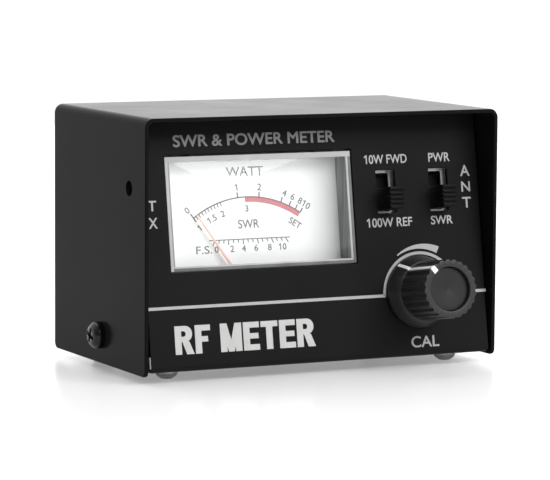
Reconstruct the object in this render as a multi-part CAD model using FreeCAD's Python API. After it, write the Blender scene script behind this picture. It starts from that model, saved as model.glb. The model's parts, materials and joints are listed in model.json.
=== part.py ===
import FreeCAD, Part
import os
from math import asin, cos, pi, radians, sin

# SWR and power meter: a folded steel case with a sloping front panel, a moving-coil meter, two slide
# switches, a calibration control, and two coaxial sockets on the rear wall.
#
# Millimetres. +X is right as seen from the front, +Y points to the rear and +Z up. The origin lies on the
# surface that the feet stand on, under the middle of the object.
#
# What sits on the front panel is made flat, in the panel's own frame: x along the panel, y up it from just
# above its lower edge, z out of it from its front face. on_panel() then lays it on the sloping panel. The
# sockets are made in the rear wall's frame and the detector in its circuit board's frame in the same way.

# Driving dimensions
COVER_WIDTH = 115.0
COVER_HEIGHT = 74.0
COVER_DEPTH = 67.2
COVER_SHEET = 1.2
COVER_BEND = 2.7
COVER_CORNER = 1.9
COVER_EDGE = 0.3

FOOT_DROP = 2.2
FOOT_RADIUS = 3.4
FOOT_FLAT_RADIUS = 1.7
FOOT_SPREAD = 46.0
FOOT_INSET = 10.5

PANEL_TILT = radians(9.06)
PANEL_SHEET = 1.0
PANEL_HALF_WIDTH = 55.4
PANEL_LENGTH = 71.4
PANEL_RECESS = 0.0
PANEL_SILL = 0.96
PANEL_LIP = 0.5
PANEL_CORNER = 1.4
PANEL_EDGE = 0.2
REAR_WALL = 65.3
BEND_INSIDE = 0.6
TAB_LENGTH = 24.0
TAB_HEIGHT = 13.5

SIDE_SCREW_DEPTH = 32.5
SIDE_SCREW_HEIGHT = 8.3
SIDE_SCREW_HEAD = 3.2
SIDE_HOLE_DEPTH = 11.4
SIDE_HOLE_HEIGHT = 53.3
SIDE_HOLE_RADIUS = 2.25
M4_RADIUS = 2.0

WINDOW_LEFT, WINDOW_RIGHT = -47.35, 13.1
WINDOW_LOW, WINDOW_HIGH = 28.1, 61.9
WINDOW_FLANGE = 1.9
PIVOT_X, PIVOT_Y = -18.3, 18.9
CASE_WALL = 1.6
CASE_DEPTH = 25.0
CASE_LOW = 6.0
DIAL_DEPTH = 7.3
NEEDLE_REST = 33.7
NEEDLE_RADIUS = 30.8

SWITCH_Y = 48.9
RANGE_X, MODE_X = 24.05, 41.85
SLOT_WIDTH, SLOT_LENGTH = 6.3, 12.8
SLIDER_WIDTH, SLIDER_LENGTH = 4.7, 6.6
SLIDER_TRAVEL = 4.4
SLIDER_STANDOUT = 6.9
SLIDER_RIBS = 5

CAL_X, CAL_Y = 32.5, 18.75
KNOB_LENGTH = 20.0
KNOB_RADIUS = 8.7
SKIRT_RADIUS = 10.7
KNOB_RECESS_RADIUS = 6.5
KNOB_FLUTES = 24
POINTER_ANGLE = 40.0
POT_SHAFT_RADIUS = 3.0
BUSHING_RADIUS = 3.5
BOARD_DEPTH = 10.8
BOARD_SHEET = 1.6

SOCKET_SPREAD = 32.0
SOCKET_HEIGHT = 33.0
SOCKET_LENGTH = 17.5
SOCKET_THREAD_RADIUS = 7.94
SOCKET_BORE_RADIUS = 6.1
CONTACT_RADIUS = 2.8
CONTACT_BORE_RADIUS = 2.0
SOCKET_FLANGE = 25.4
SOCKET_SCREW_SPACING = 18.25
M3_RADIUS = 1.5
DETECTOR_DEPTH = 13.0

# Worked out from the driving dimensions
V = FreeCAD.Vector
X_AXIS, Y_AXIS, Z_AXIS = V(1, 0, 0), V(0, 1, 0), V(0, 0, 1)

KNOB_REACH = PANEL_RECESS + (CAL_Y - KNOB_RADIUS) * sin(PANEL_TILT) - KNOB_LENGTH * cos(PANEL_TILT)
COVER_FRONT = -(KNOB_REACH + REAR_WALL + SOCKET_LENGTH) / 2
COVER_LOW = FOOT_DROP
COVER_TOP = COVER_LOW + COVER_HEIGHT
FLOOR_LOW = COVER_LOW + PANEL_SILL
PANEL_FOOT = COVER_FRONT + PANEL_RECESS
PANEL_START = FLOOR_LOW + PANEL_LIP
REAR_FACE = COVER_FRONT + REAR_WALL
REAR_TOP = COVER_TOP - COVER_SHEET - 0.4

TERMINAL_PLACES = (PIVOT_X - 15, PIVOT_X + 15)
TERMINAL_Y = 17.0
DIAL_SCREW_PLACES = (PIVOT_X - 13, PIVOT_X + 13)
DIAL_SCREW_Y = 25.0
TRIMMER_PLACES = {"forward": -12.0, "reflected": 12.0}
TRIMMER_Y = 12.0

PANEL = FreeCAD.Placement(
    V(0, PANEL_FOOT, PANEL_START), FreeCAD.Rotation(X_AXIS, 90 - PANEL_TILT * 180 / pi)
)
REAR = FreeCAD.Placement(V(0, REAR_FACE, COVER_LOW + SOCKET_HEIGHT), FreeCAD.Rotation(X_AXIS, -90))
DETECTOR = FreeCAD.Placement(
    V(0, REAR_FACE - DETECTOR_DEPTH, COVER_LOW + SOCKET_HEIGHT), FreeCAD.Rotation(X_AXIS, 90)
)


# Shapes
def box(x0, x1, y0, y1, z0, z1):
    return Part.makeBox(x1 - x0, y1 - y0, z1 - z0, V(x0, y0, z0))


def centred_box(x, y, width, height, z0, z1):
    return box(x - width / 2, x + width / 2, y - height / 2, y + height / 2, z0, z1)


def rod(radius, x, y, z0, z1):
    return Part.makeCylinder(radius, z1 - z0, V(x, y, z0))


def ring(outer, inner, x, y, z0, z1):
    return rod(outer, x, y, z0, z1).cut(rod(inner, x, y, z0 - 1, z1 + 1))


def prism(corners, z0, z1):
    """A straight prism along z over a closed outline of (x, y) corners."""
    outline = Part.makePolygon([V(x, y, z0) for x, y in corners + corners[:1]])
    return Part.Face(outline).extrude(V(0, 0, z1 - z0))


def hexagon(across_flats, x, y, z0, z1):
    reach = across_flats / 2 / cos(pi / 6)
    return prism([(x + reach * cos(k * pi / 3), y + reach * sin(k * pi / 3)) for k in range(6)], z0, z1)


def turned(profile, x=0.0, y=0.0):
    """A solid turned about a line along z, from (radius, z) corners."""
    outline = Part.makePolygon([V(radius, 0, z) for radius, z in profile + profile[:1]])
    solid = Part.Face(outline).revolve(V(0, 0, 0), Z_AXIS, 360)
    return solid.translated(V(x, y, 0))


def straight_edges(shape, axis, keep=lambda middle: True):
    found = []
    for edge in shape.Edges:
        straight = edge.Curve.TypeId == "Part::GeomLine"
        if straight and abs(edge.tangentAt(edge.FirstParameter).dot(axis)) > 0.999 and keep(edge.CenterOfMass):
            found.append(edge)
    return found


def edges_at(shape, axis, distance):
    """The edges that lie in the plane across the axis at that distance from the origin."""
    found = []
    for edge in shape.Edges:
        first, last = edge.FirstParameter, edge.LastParameter
        points = [edge.valueAt(t) for t in (first, (first + last) / 2, last)]
        if all(abs(point.dot(axis) - distance) < 0.001 for point in points):
            found.append(edge)
    return found


def rounded(shape, radius, axis, keep=lambda middle: True):
    return shape.makeFillet(radius, straight_edges(shape, axis, keep))


def joined(first, *others):
    return first.multiFuse(list(others)).removeSplitter()


def turned_about(shape, degrees, x, y):
    return shape.rotated(V(x, y, 0), Z_AXIS, degrees)


def on_panel(shape):
    return shape.transformed(PANEL.toMatrix(), copy=True)


def on_rear(shape):
    return shape.transformed(REAR.toMatrix(), copy=True)


def on_detector(shape):
    return shape.transformed(DETECTOR.toMatrix(), copy=True)


def cross_recess(width, depth, z_top):
    """A cutter for a cross recess that narrows to its bottom."""
    half_arm = 0.12 * width
    arm = prism([(-width / 2, z_top + 0.1), (width / 2, z_top + 0.1), (width / 4, z_top - depth),
                 (-width / 4, z_top - depth)], -half_arm, half_arm)
    arm = arm.rotated(V(0, 0, 0), X_AXIS, 90)
    return arm.fuse(arm.rotated(V(0, 0, 0), Z_AXIS, 90))


def pan_screw(thread_radius, head_radius, head_height, length):
    """A pan-head screw along z: its head's seat at z = 0, its shank below."""
    head = rod(head_radius, 0, 0, 0, head_height)
    head = head.makeFillet(0.55 * head_height, edges_at(head, Z_AXIS, head_height))
    lead_in = thread_radius * 0.4
    shank = turned([(0, -length), (thread_radius * 0.7, -length), (thread_radius, lead_in - length),
                    (thread_radius, 0), (0, 0)])
    return joined(head, shank).cut(cross_recess(head_radius * 1.15, head_height * 0.75, head_height))


# The case
def top_cover():
    half, low, top = COVER_WIDTH / 2, COVER_LOW, COVER_TOP
    front, rear = COVER_FRONT, COVER_FRONT + COVER_DEPTH
    outside = rounded(box(-half, half, front, rear, low, top), COVER_BEND, Y_AXIS, lambda m: m.z > top - 1)
    inside = box(-half + COVER_SHEET, half - COVER_SHEET, front - 1, rear + 1, low - 1, top - COVER_SHEET)
    inside = rounded(inside, COVER_BEND - COVER_SHEET, Y_AXIS, lambda m: m.z > top - COVER_SHEET - 1)
    cover = rounded(outside.cut(inside), COVER_CORNER, X_AXIS, lambda m: m.z < low + 1)
    screw_line = side_point(-half - 1, SIDE_SCREW_DEPTH, SIDE_SCREW_HEIGHT)
    screw_holes = Part.makeCylinder(M4_RADIUS + 0.2, COVER_WIDTH + 2, screw_line, X_AXIS)
    hole_place = side_point(-half - 1, SIDE_HOLE_DEPTH, SIDE_HOLE_HEIGHT)
    side_hole = Part.makeCylinder(SIDE_HOLE_RADIUS, 4, hole_place, X_AXIS)
    cover = cover.cut(screw_holes).cut(side_hole)
    return cover.makeFillet(COVER_EDGE, edges_at(cover, Y_AXIS, front) + edges_at(cover, Y_AXIS, rear))


def side_point(x, depth, height):
    """A point given by its depth behind the cover's front edge and its height above the cover's lower edge."""
    return V(x, COVER_FRONT + depth, COVER_LOW + height)


def chassis_fold():
    """The front panel, floor and rear wall, folded from one sheet, with rounded bends."""
    slope_y, slope_z = sin(PANEL_TILT), cos(PANEL_TILT)
    panel_low = (PANEL_FOOT - PANEL_LIP * slope_y / slope_z, FLOOR_LOW)
    panel_top = (PANEL_FOOT + PANEL_LENGTH * slope_y, PANEL_START + PANEL_LENGTH * slope_z)
    panel_top_inside = (panel_top[0] + PANEL_SHEET * slope_z, panel_top[1] - PANEL_SHEET * slope_y)
    floor_top = FLOOR_LOW + PANEL_SHEET
    front_inside = (panel_low[0] + PANEL_SHEET * (1 + slope_y) / slope_z, floor_top)
    rear_inside = (REAR_FACE - PANEL_SHEET, floor_top)
    outline = [panel_low, panel_top, panel_top_inside, front_inside, rear_inside,
               (REAR_FACE - PANEL_SHEET, REAR_TOP), (REAR_FACE, REAR_TOP), (REAR_FACE, FLOOR_LOW)]
    points = [V(-PANEL_HALF_WIDTH, y, z) for y, z in outline + outline[:1]]
    fold = Part.Face(Part.makePolygon(points)).extrude(V(2 * PANEL_HALF_WIDTH, 0, 0))
    outside = BEND_INSIDE + PANEL_SHEET
    fold = rounded(fold, BEND_INSIDE, X_AXIS, lambda m: abs(m.z - floor_top) < 0.01)
    return rounded(fold, outside, X_AXIS, lambda m: abs(m.z - FLOOR_LOW) < 0.01)


def side_tabs():
    """Two tabs that stand up from the floor, one inside each side of the cover, for the side screws."""
    tabs = []
    front = COVER_FRONT + SIDE_SCREW_DEPTH - TAB_LENGTH / 2
    rear = front + TAB_LENGTH
    for side in (-1, 1):
        outer = side * (PANEL_HALF_WIDTH + 0.5)
        low, high = sorted((outer, outer - side * PANEL_SHEET))
        tab = box(low, high, front, rear, FLOOR_LOW, FLOOR_LOW + TAB_HEIGHT)
        low, high = sorted((outer, outer - side * 4))
        foot = box(low, high, front, rear, FLOOR_LOW, FLOOR_LOW + PANEL_SHEET)
        tab = rounded(tab, 3, X_AXIS, lambda m: m.z > FLOOR_LOW + TAB_HEIGHT - 1)
        tabs.append(tab.fuse(foot))
    return tabs


def panel_cutouts():
    """Cutters for the meter's window, the two slots, the control's hole and the rounded lower corners."""
    cut = [box(WINDOW_LEFT, WINDOW_RIGHT, WINDOW_LOW, WINDOW_HIGH, -3, 1)]
    for x in (RANGE_X, MODE_X):
        cut.append(rounded(centred_box(x, SWITCH_Y, SLOT_WIDTH, SLOT_LENGTH, -3, 1), 0.4, Z_AXIS))
    cut.append(rod(BUSHING_RADIUS + 0.1, CAL_X, CAL_Y, -3, 1))
    for side in (-1, 1):
        centre_x, centre_y = side * (PANEL_HALF_WIDTH - PANEL_CORNER), PANEL_CORNER - PANEL_LIP
        low, high = sorted((centre_x, centre_x + side * (PANEL_CORNER + 1)))
        block = box(low, high, -3, centre_y, -3, 1)
        cut.append(block.cut(rod(PANEL_CORNER, centre_x, centre_y, -4, 2)))
    return [on_panel(cutter) for cutter in cut]


def window_tongues():
    """Two small tongues at the window's upper edge, which hold the clear window down."""
    return [on_panel(box(x - 0.6, x + 0.6, WINDOW_HIGH - 0.5, WINDOW_HIGH + 0.5, -PANEL_SHEET, 0))
            for x in (-39.2, 1.1)]


def rear_cutouts():
    cut = []
    for x in (-SOCKET_SPREAD, SOCKET_SPREAD):
        cut.append(rod(7.2, x, 0, -3, 1))
        cut += [rod(M3_RADIUS + 0.1, sx, sy, -3, 1) for sx, sy in socket_screw_places(x)]
    return [on_rear(cutter) for cutter in cut]


def chassis():
    shell = joined(chassis_fold(), *side_tabs())
    screw_line = side_point(-COVER_WIDTH / 2, SIDE_SCREW_DEPTH, SIDE_SCREW_HEIGHT)
    screw_holes = Part.makeCylinder(M4_RADIUS + 0.03, COVER_WIDTH, screw_line, X_AXIS)
    shell = shell.cut(panel_cutouts() + rear_cutouts() + [screw_holes])
    shell = joined(shell, *window_tongues())
    outward = PANEL.Rotation.multVec(Z_AXIS)
    panel_face = edges_at(shell, outward, PANEL.Base.dot(outward))
    return shell.makeFillet(PANEL_EDGE, panel_face + edges_at(shell, Y_AXIS, REAR_FACE))


def cover_screws():
    screws = []
    for side in (-1, 1):
        seat = side_point(side * COVER_WIDTH / 2, SIDE_SCREW_DEPTH, SIDE_SCREW_HEIGHT)
        screw = pan_screw(M4_RADIUS, 4.0, SIDE_SCREW_HEAD, 7.0).rotated(V(0, 0, 0), Z_AXIS, 20)
        screws.append(screw.rotated(V(0, 0, 0), Y_AXIS, side * 90).translated(seat))
    return screws


def rubber_foot(x, y):
    """A domed foot stuck under the floor, flat where it stands."""
    height = FLOOR_LOW
    shoulder = 0.45 * height
    reach = FOOT_RADIUS - FOOT_FLAT_RADIUS
    bend = (reach**2 + shoulder**2) / (2 * shoulder)
    half_turn = asin(reach / bend) / 2
    middle = V(FOOT_FLAT_RADIUS + bend * sin(half_turn), 0, bend * (1 - cos(half_turn)))
    side = Part.Arc(V(FOOT_FLAT_RADIUS, 0, 0), middle, V(FOOT_RADIUS, 0, shoulder)).toShape()
    corners = [(FOOT_RADIUS, shoulder), (FOOT_RADIUS, height), (0, height), (0, 0), (FOOT_FLAT_RADIUS, 0)]
    rest = Part.makePolygon([V(radius, 0, z) for radius, z in corners])
    face = Part.Face(Part.Wire([side] + rest.Edges))
    return face.revolve(V(0, 0, 0), Z_AXIS, 360).translated(V(x, y, 0))


def rubber_feet():
    front = COVER_FRONT + FOOT_INSET
    rear = COVER_FRONT + COVER_DEPTH - FOOT_INSET
    return [rubber_foot(x, y) for x in (-FOOT_SPREAD, FOOT_SPREAD) for y in (front, rear)]


# The meter
def meter_window():
    """A clear lid: a raised front in the panel's window, a flange behind it, and three walls to the dial."""
    front = box(WINDOW_LEFT + 0.2, WINDOW_RIGHT - 0.2, WINDOW_LOW + 0.2, WINDOW_HIGH - 0.6, -1.6, -0.4)
    front = front.makeChamfer(0.5, [edge for edge in front.Edges if abs(edge.CenterOfMass.z + 0.4) < 0.01])
    flange = box(WINDOW_LEFT - WINDOW_FLANGE, WINDOW_RIGHT + WINDOW_FLANGE, WINDOW_LOW - WINDOW_FLANGE,
                 WINDOW_HIGH + WINDOW_FLANGE, -3.0, -1.5)
    left, right, high = WINDOW_LEFT + 1.15, WINDOW_RIGHT - 1.15, WINDOW_HIGH - 1.4
    thick = 0.8
    walls = box(left, right, WINDOW_LOW + 1.3, high, 0.05 - DIAL_DEPTH, -2.9)
    walls = walls.cut(box(left + thick, right - thick, WINDOW_LOW, high - thick, -DIAL_DEPTH, -2.0))
    return joined(front, flange, walls)


def meter_gasket():
    """A foam frame that sticks the clear lid to the back of the panel."""
    outer = box(WINDOW_LEFT - WINDOW_FLANGE, WINDOW_RIGHT + WINDOW_FLANGE, WINDOW_LOW - WINDOW_FLANGE,
                WINDOW_HIGH + WINDOW_FLANGE, -1.48, -1.02)
    return outer.cut(box(WINDOW_LEFT - 0.4, WINDOW_RIGHT + 0.4, WINDOW_LOW - 0.4, WINDOW_HIGH + 0.4, -2, 0))


def meter_case():
    """The box behind the panel: open to the front at the window, closed below it over the movement."""
    left, right = WINDOW_LEFT - 0.6, WINDOW_RIGHT + 0.6
    high = WINDOW_HIGH + 0.6
    case = rounded(box(left, right, CASE_LOW, high, -CASE_DEPTH, -3.05), 1.2, Z_AXIS)
    back = -CASE_DEPTH + CASE_WALL
    case = case.cut(box(left + CASE_WALL, right - CASE_WALL, WINDOW_LOW + 1, high - CASE_WALL, back, 0))
    case = case.cut(box(left + CASE_WALL, right - CASE_WALL, CASE_LOW + CASE_WALL, WINDOW_LOW + 2, back, -4.0))
    posts = []
    for angle in (45, 135, 225, 315):
        x = PIVOT_X + 9.75 * cos(radians(angle))
        y = PIVOT_Y + 9.75 * sin(radians(angle))
        posts.append(rod(1.5, x, y, back - 0.1, -20.05))
    case = joined(case, *posts)
    return case.cut([rod(1.6, x, TERMINAL_Y, -CASE_DEPTH - 1, back + 1) for x in TERMINAL_PLACES])


def dial_plate():
    plate = box(WINDOW_LEFT + 1.3, WINDOW_RIGHT - 1.3, 22.2, WINDOW_HIGH - 1.3, -DIAL_DEPTH - 0.5, -DIAL_DEPTH)
    return plate.cut([rod(0.9, x, DIAL_SCREW_Y, -9, -6) for x in DIAL_SCREW_PLACES])


def dial_screws():
    """Two small screws hold the dial to posts on the iron ring's bracket."""
    screws = []
    for x in DIAL_SCREW_PLACES:
        screw = pan_screw(0.8, 1.5, 0.9, 2.4)
        screws.append(screw.translated(V(x, DIAL_SCREW_Y, -DIAL_DEPTH)))
    return screws


def needle():
    arm = prism([(-0.45, 1.2), (-0.16, NEEDLE_RADIUS), (0.16, NEEDLE_RADIUS), (0.45, 1.2)], -5.8, -5.5)
    tail = box(-0.4, 0.4, -5.0, -1.2, -5.8, -5.5)
    weight = rod(1.2, 0, -5.2, -5.9, -5.4)
    pointer = joined(arm, tail, weight, rod(1.6, 0, 0, -5.8, -5.5)).cut(rod(0.42, 0, 0, -7, -5))
    return turned_about(pointer.translated(V(PIVOT_X, PIVOT_Y, 0)), NEEDLE_REST, PIVOT_X, PIVOT_Y)


def pivot_staff():
    """Two short pointed pivots, glued to the front and the back of the coil."""
    front = turned([(0, -8.38), (1.4, -8.38), (1.4, -8.1), (0.4, -8.1), (0.4, -5.4), (0.08, -5.12),
                    (0, -5.12)])
    rear = turned([(0, -20.62), (1.4, -20.62), (1.4, -20.9), (0.4, -20.9), (0.4, -21.45), (0.08, -21.72),
                   (0, -21.72)])
    return [half.translated(V(PIVOT_X, PIVOT_Y, 0)) for half in (front, rear)]


def moving_coil():
    """A rectangular coil around the core, its plane across the needle."""
    loop = centred_box(0, 0, 14.1, 2.6, -20.6, -8.4).cut(centred_box(0, 0, 12.7, 4, -19.8, -9.2))
    loop = rounded(loop, 0.5, Y_AXIS)
    return turned_about(loop.translated(V(PIVOT_X, PIVOT_Y, 0)), NEEDLE_REST, PIVOT_X, PIVOT_Y)


def hairsprings():
    """The two hairsprings, each three nested split rings on a collet."""
    springs = []
    for z0, z1 in ((-7.0, -6.7), (-21.3, -21.0)):
        collet = ring(0.9, 0.42, 0, 0, z0, z1)
        coils = [ring(radius + 0.14, radius, 0, 0, z0, z1) for radius in (1.4, 2.0, 2.6)]
        bars = centred_box(0, 1.75, 0.3, 1.9, z0, z1)
        springs.append(joined(collet, bars, *coils).translated(V(PIVOT_X, PIVOT_Y, 0)))
    return springs


def core_magnet():
    return rod(5.6, PIVOT_X, PIVOT_Y, -19.4, -9.6)


def meter_yoke():
    """The iron ring round the coil, with two lugs that reach in to hold the core above and below."""
    body = ring(11.0, 8.0, 0, 0, -20.0, -9.0)
    lugs = centred_box(0, 0, 3.0, 17.0, -16.5, -12.5).cut(rod(5.62, 0, 0, -20, -9))
    body = joined(body, lugs).translated(V(PIVOT_X, PIVOT_Y, 0))
    for x in DIAL_SCREW_PLACES:
        arm = centred_box((x + PIVOT_X) / 2, DIAL_SCREW_Y, abs(x - PIVOT_X), 2, -20, -16)
        post = joined(rod(1.5, x, DIAL_SCREW_Y, -20.0, -7.85), arm)
        post = post.cut(rod(10.9, PIVOT_X, PIVOT_Y, -21, -7)).cut(rod(0.82, x, DIAL_SCREW_Y, -11, -6))
        body = joined(body, post)
    return body


def bridge(z_bar, z_foot):
    """A bar across the movement that holds a pivot's jewel, with a leg at each end down to the ring."""
    thick = 0.8
    bar = centred_box(0, 0, 22.0, 3.0, z_bar - thick / 2, z_bar + thick / 2)
    low, high = sorted((z_bar, z_foot))
    legs = [centred_box(x, 0, 1.6, 3.0, low, high) for x in (-10.2, 10.2)]
    return joined(bar, *legs).cut(rod(0.92, 0, 0, -30, 0)).translated(V(PIVOT_X, PIVOT_Y, 0))


def jewel_screws():
    front = rod(0.9, PIVOT_X, PIVOT_Y, -5.05, -4.15)
    rear = rod(0.9, PIVOT_X, PIVOT_Y, -22.7, -21.78)
    return [front, rear]


def meter_terminals():
    """Two brass studs through the back of the case, each with a nut."""
    studs = []
    for x in TERMINAL_PLACES:
        stud = joined(rod(1.5, x, TERMINAL_Y, -29.5, -22.6), rod(2.8, x, TERMINAL_Y, -23.35, -22.2))
        studs.append(joined(stud, hexagon(5.5, x, TERMINAL_Y, -27.2, -25.05)))
    return studs


# The slide switches
def switch_frame(x):
    """A folded steel frame behind the slot, with an opening for the slider."""
    frame = centred_box(x, SWITCH_Y, 12.4, 23.0, -9.6, -3.0)
    frame = frame.cut(centred_box(x, SWITCH_Y, 11.4, 22.0, -10, -3.5))
    opening = centred_box(x, SWITCH_Y, SLIDER_WIDTH + 0.4, SLIDER_LENGTH + SLIDER_TRAVEL + 0.4, -4, -2)
    return rounded(frame, 0.4, Z_AXIS, lambda m: abs(m.x - x) > 6).cut(opening)


def switch_base(x):
    base = centred_box(x, SWITCH_Y, 11.2, 21.8, -9.6, -8.2)
    return base.cut([rod(0.62, px, py, -11, -7) for px, py in switch_pin_places(x)])


def switch_pin_places(x):
    return [(x + side * 3.2, SWITCH_Y + row * 5.0) for side in (-1, 1) for row in (-1, 0, 1)]


def switch_contacts(x):
    return [joined(rod(0.55, px, py, -14.0, -8.0), rod(1.2, px, py, -8.15, -7.6))
            for px, py in switch_pin_places(x)]


def slider(x):
    """A ribbed slider at the lower end of its slot, on a plate that runs inside the frame."""
    y = SWITCH_Y - SLIDER_TRAVEL / 2
    stem = rounded(centred_box(x, y, SLIDER_WIDTH, SLIDER_LENGTH, -5.2, SLIDER_STANDOUT), 0.25, Z_AXIS)
    pitch = SLIDER_LENGTH / SLIDER_RIBS
    for k in range(SLIDER_RIBS - 1):
        groove_y = y - SLIDER_LENGTH / 2 + (k + 1) * pitch
        groove = centred_box(x, groove_y, SLIDER_WIDTH + 1, pitch * 0.42, SLIDER_STANDOUT - 0.7,
                             SLIDER_STANDOUT + 1)
        stem = stem.cut(groove)
    plate = centred_box(x, y, 9.6, 13.8, -6.4, -5.0)
    return joined(stem, plate)


# The calibration control
def skirt_and_body(radius_gain=0.0):
    """The knob's outline as (radius, z) corners: a flared skirt and a straight body."""
    rim, body = SKIRT_RADIUS + radius_gain, KNOB_RADIUS + radius_gain
    return [(0, 0.8), (rim, 0.8), (rim, 1.6), (body + 0.75, 5.2), (body + 0.35, 6.0), (body, 6.2),
            (body, KNOB_LENGTH - 0.3), (body - 0.3, KNOB_LENGTH), (0, KNOB_LENGTH)]


def pointer_strip():
    """The white line inlaid along the knob, from the skirt's rim to the front face."""
    along = box(-0.5, 0.5, KNOB_RADIUS - 0.6, SKIRT_RADIUS + 1, 0.9, KNOB_LENGTH - 0.2)
    along = along.common(turned(skirt_and_body(0.06)))
    across = box(-0.8, 0.8, KNOB_RECESS_RADIUS + 0.1, KNOB_RADIUS - 0.05, KNOB_LENGTH - 0.8, KNOB_LENGTH)
    return turned_about(joined(along, across), POINTER_ANGLE, 0, 0).translated(V(CAL_X, CAL_Y, 0))


def cal_knob():
    knob = turned(skirt_and_body())
    flutes = []
    for k in range(KNOB_FLUTES):
        angle = 2 * pi * (k + 0.5) / KNOB_FLUTES + radians(POINTER_ANGLE + 90)
        flutes.append(rod(0.9, (KNOB_RADIUS + 0.45) * cos(angle), (KNOB_RADIUS + 0.45) * sin(angle), 6.0,
                          KNOB_LENGTH + 1))
    knob = knob.cut(flutes)
    knob = knob.cut([rod(KNOB_RECESS_RADIUS, 0, 0, KNOB_LENGTH - 2.4, KNOB_LENGTH + 1),
                     rod(7.2, 0, 0, 0, 5.0), rod(POT_SHAFT_RADIUS + 0.02, 0, 0, 0, 15.0)])
    return knob.translated(V(CAL_X, CAL_Y, 0)).cut(pointer_strip())


def cal_knob_cap():
    radius = KNOB_RECESS_RADIUS - 0.05
    return turned([(0, 17.62), (radius, 17.62), (radius, 18.5), (radius - 0.2, 18.7), (0, 18.7)], CAL_X, CAL_Y)


def pot_shaft():
    return rod(POT_SHAFT_RADIUS, CAL_X, CAL_Y, -5.4, 14.9)


def pot_bushing():
    """The threaded bushing with its front plate, which the panel is clamped to."""
    body = joined(rod(BUSHING_RADIUS, CAL_X, CAL_Y, -1.8, 4.6), rod(8.2, CAL_X, CAL_Y, -2.6, -1.02))
    return body.cut(rod(POT_SHAFT_RADIUS + 0.05, CAL_X, CAL_Y, -4, 6))


def pot_body():
    return rod(8.2, CAL_X, CAL_Y, -9.6, -2.65).cut(rod(7.4, CAL_X, CAL_Y, -8.8, -2))


def pot_nut():
    return hexagon(10.0, CAL_X, CAL_Y, 0.55, 2.5).cut(rod(BUSHING_RADIUS + 0.02, CAL_X, CAL_Y, 0, 3))


def pot_washer():
    return ring(5.8, BUSHING_RADIUS + 0.1, CAL_X, CAL_Y, 0.02, 0.5)


def pot_wiper():
    """A moulded rotor on the end of the shaft, with the wiper's contact finger."""
    finger = box(CAL_X - 0.8, CAL_X + 0.8, CAL_Y + 2, CAL_Y + 6.4, -7.0, -6.2)
    return joined(rod(5.6, CAL_X, CAL_Y, -6.4, -5.45), finger)


def pot_wafer():
    return rod(7.3, CAL_X, CAL_Y, -8.75, -7.6)


def pot_terminals():
    return [joined(box(CAL_X + x - 0.6, CAL_X + x + 0.6, CAL_Y - 11.5, CAL_Y - 8.25, -8.4, -7.8),
                   box(CAL_X + x - 0.6, CAL_X + x + 0.6, CAL_Y - 11.5, CAL_Y - 10.9, -13.6, -7.8))
            for x in (-5.0, 0.0, 5.0)]


def control_board():
    """The board behind the panel that the two switches and the control are soldered to."""
    low = -BOARD_DEPTH - BOARD_SHEET
    board = rounded(box(16.5, 51.5, 4.5, 62.5, low, -BOARD_DEPTH), 1.0, Z_AXIS)
    pins = switch_pin_places(RANGE_X) + switch_pin_places(MODE_X)
    holes = [rod(0.7, x, y, low - 1, 0) for x, y in pins]
    holes += [rod(0.9, CAL_X + x, CAL_Y - 11.2, low - 1, 0) for x in (-5.0, 0.0, 5.0)]
    return board.cut(holes)


# The sockets on the rear wall, in the wall's frame: z out of the wall, y down
def socket_screw_places(x):
    reach = SOCKET_SCREW_SPACING / 2
    return [(x + sx * reach, sy * reach) for sx in (-1, 1) for sy in (-1, 1)]


def socket_shell(x):
    flange = rounded(centred_box(x, 0, SOCKET_FLANGE, SOCKET_FLANGE, 0.02, 2.4), 2.0, Z_AXIS)
    flange = flange.cut([rod(M3_RADIUS + 0.1, sx, sy, -1, 3) for sx, sy in socket_screw_places(x)])
    barrel = turned([(0, -4.0), (6.8, -4.0), (6.8, 1.0), (SOCKET_THREAD_RADIUS, 1.0),
                     (SOCKET_THREAD_RADIUS, SOCKET_LENGTH), (0, SOCKET_LENGTH)], x, 0)
    notches = [centred_box(x, side * 7.2, 1.6, 2.4, SOCKET_LENGTH - 1.0, SOCKET_LENGTH + 1)
               for side in (-1, 1)]
    shell = joined(flange, barrel).cut([rod(SOCKET_BORE_RADIUS, x, 0, 7.0, SOCKET_LENGTH + 1),
                                        rod(5.4, x, 0, -5, 8)])
    return shell.cut(notches)


def socket_insulator(x):
    body = turned([(0, -6.5), (4.6, -6.5), (5.35, -5.9), (5.35, 7.0), (6.05, 7.05), (6.05, 8.0), (0, 8.0)],
                  x, 0)
    return body.cut(rod(CONTACT_RADIUS + 0.02, x, 0, -8, 10))


def socket_contact(x):
    """The centre contact: a split sleeve in front and a solder cup behind."""
    body = joined(rod(CONTACT_RADIUS, x, 0, -6.5, SOCKET_LENGTH - 1.5), rod(1.7, x, 0, -13.8, -6.0))
    body = body.cut([rod(CONTACT_BORE_RADIUS, x, 0, 4.5, SOCKET_LENGTH), rod(1.1, x, 0, -15, -10.5)])
    slots = [centred_box(x, 0, 0.5, 8, 8.6, SOCKET_LENGTH), centred_box(x, 0, 8, 0.5, 8.6, SOCKET_LENGTH)]
    return body.cut(slots)


def socket_screws(x):
    screw = pan_screw(M3_RADIUS, 2.8, 2.0, 7.6)
    return [screw.translated(V(sx, sy, 2.42)) for sx, sy in socket_screw_places(x)]


def socket_nuts(x):
    return [hexagon(5.5, sx, sy, -4.0, -1.62).cut(rod(M3_RADIUS + 0.02, sx, sy, -5, 0))
            for sx, sy in socket_screw_places(x)]


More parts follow.
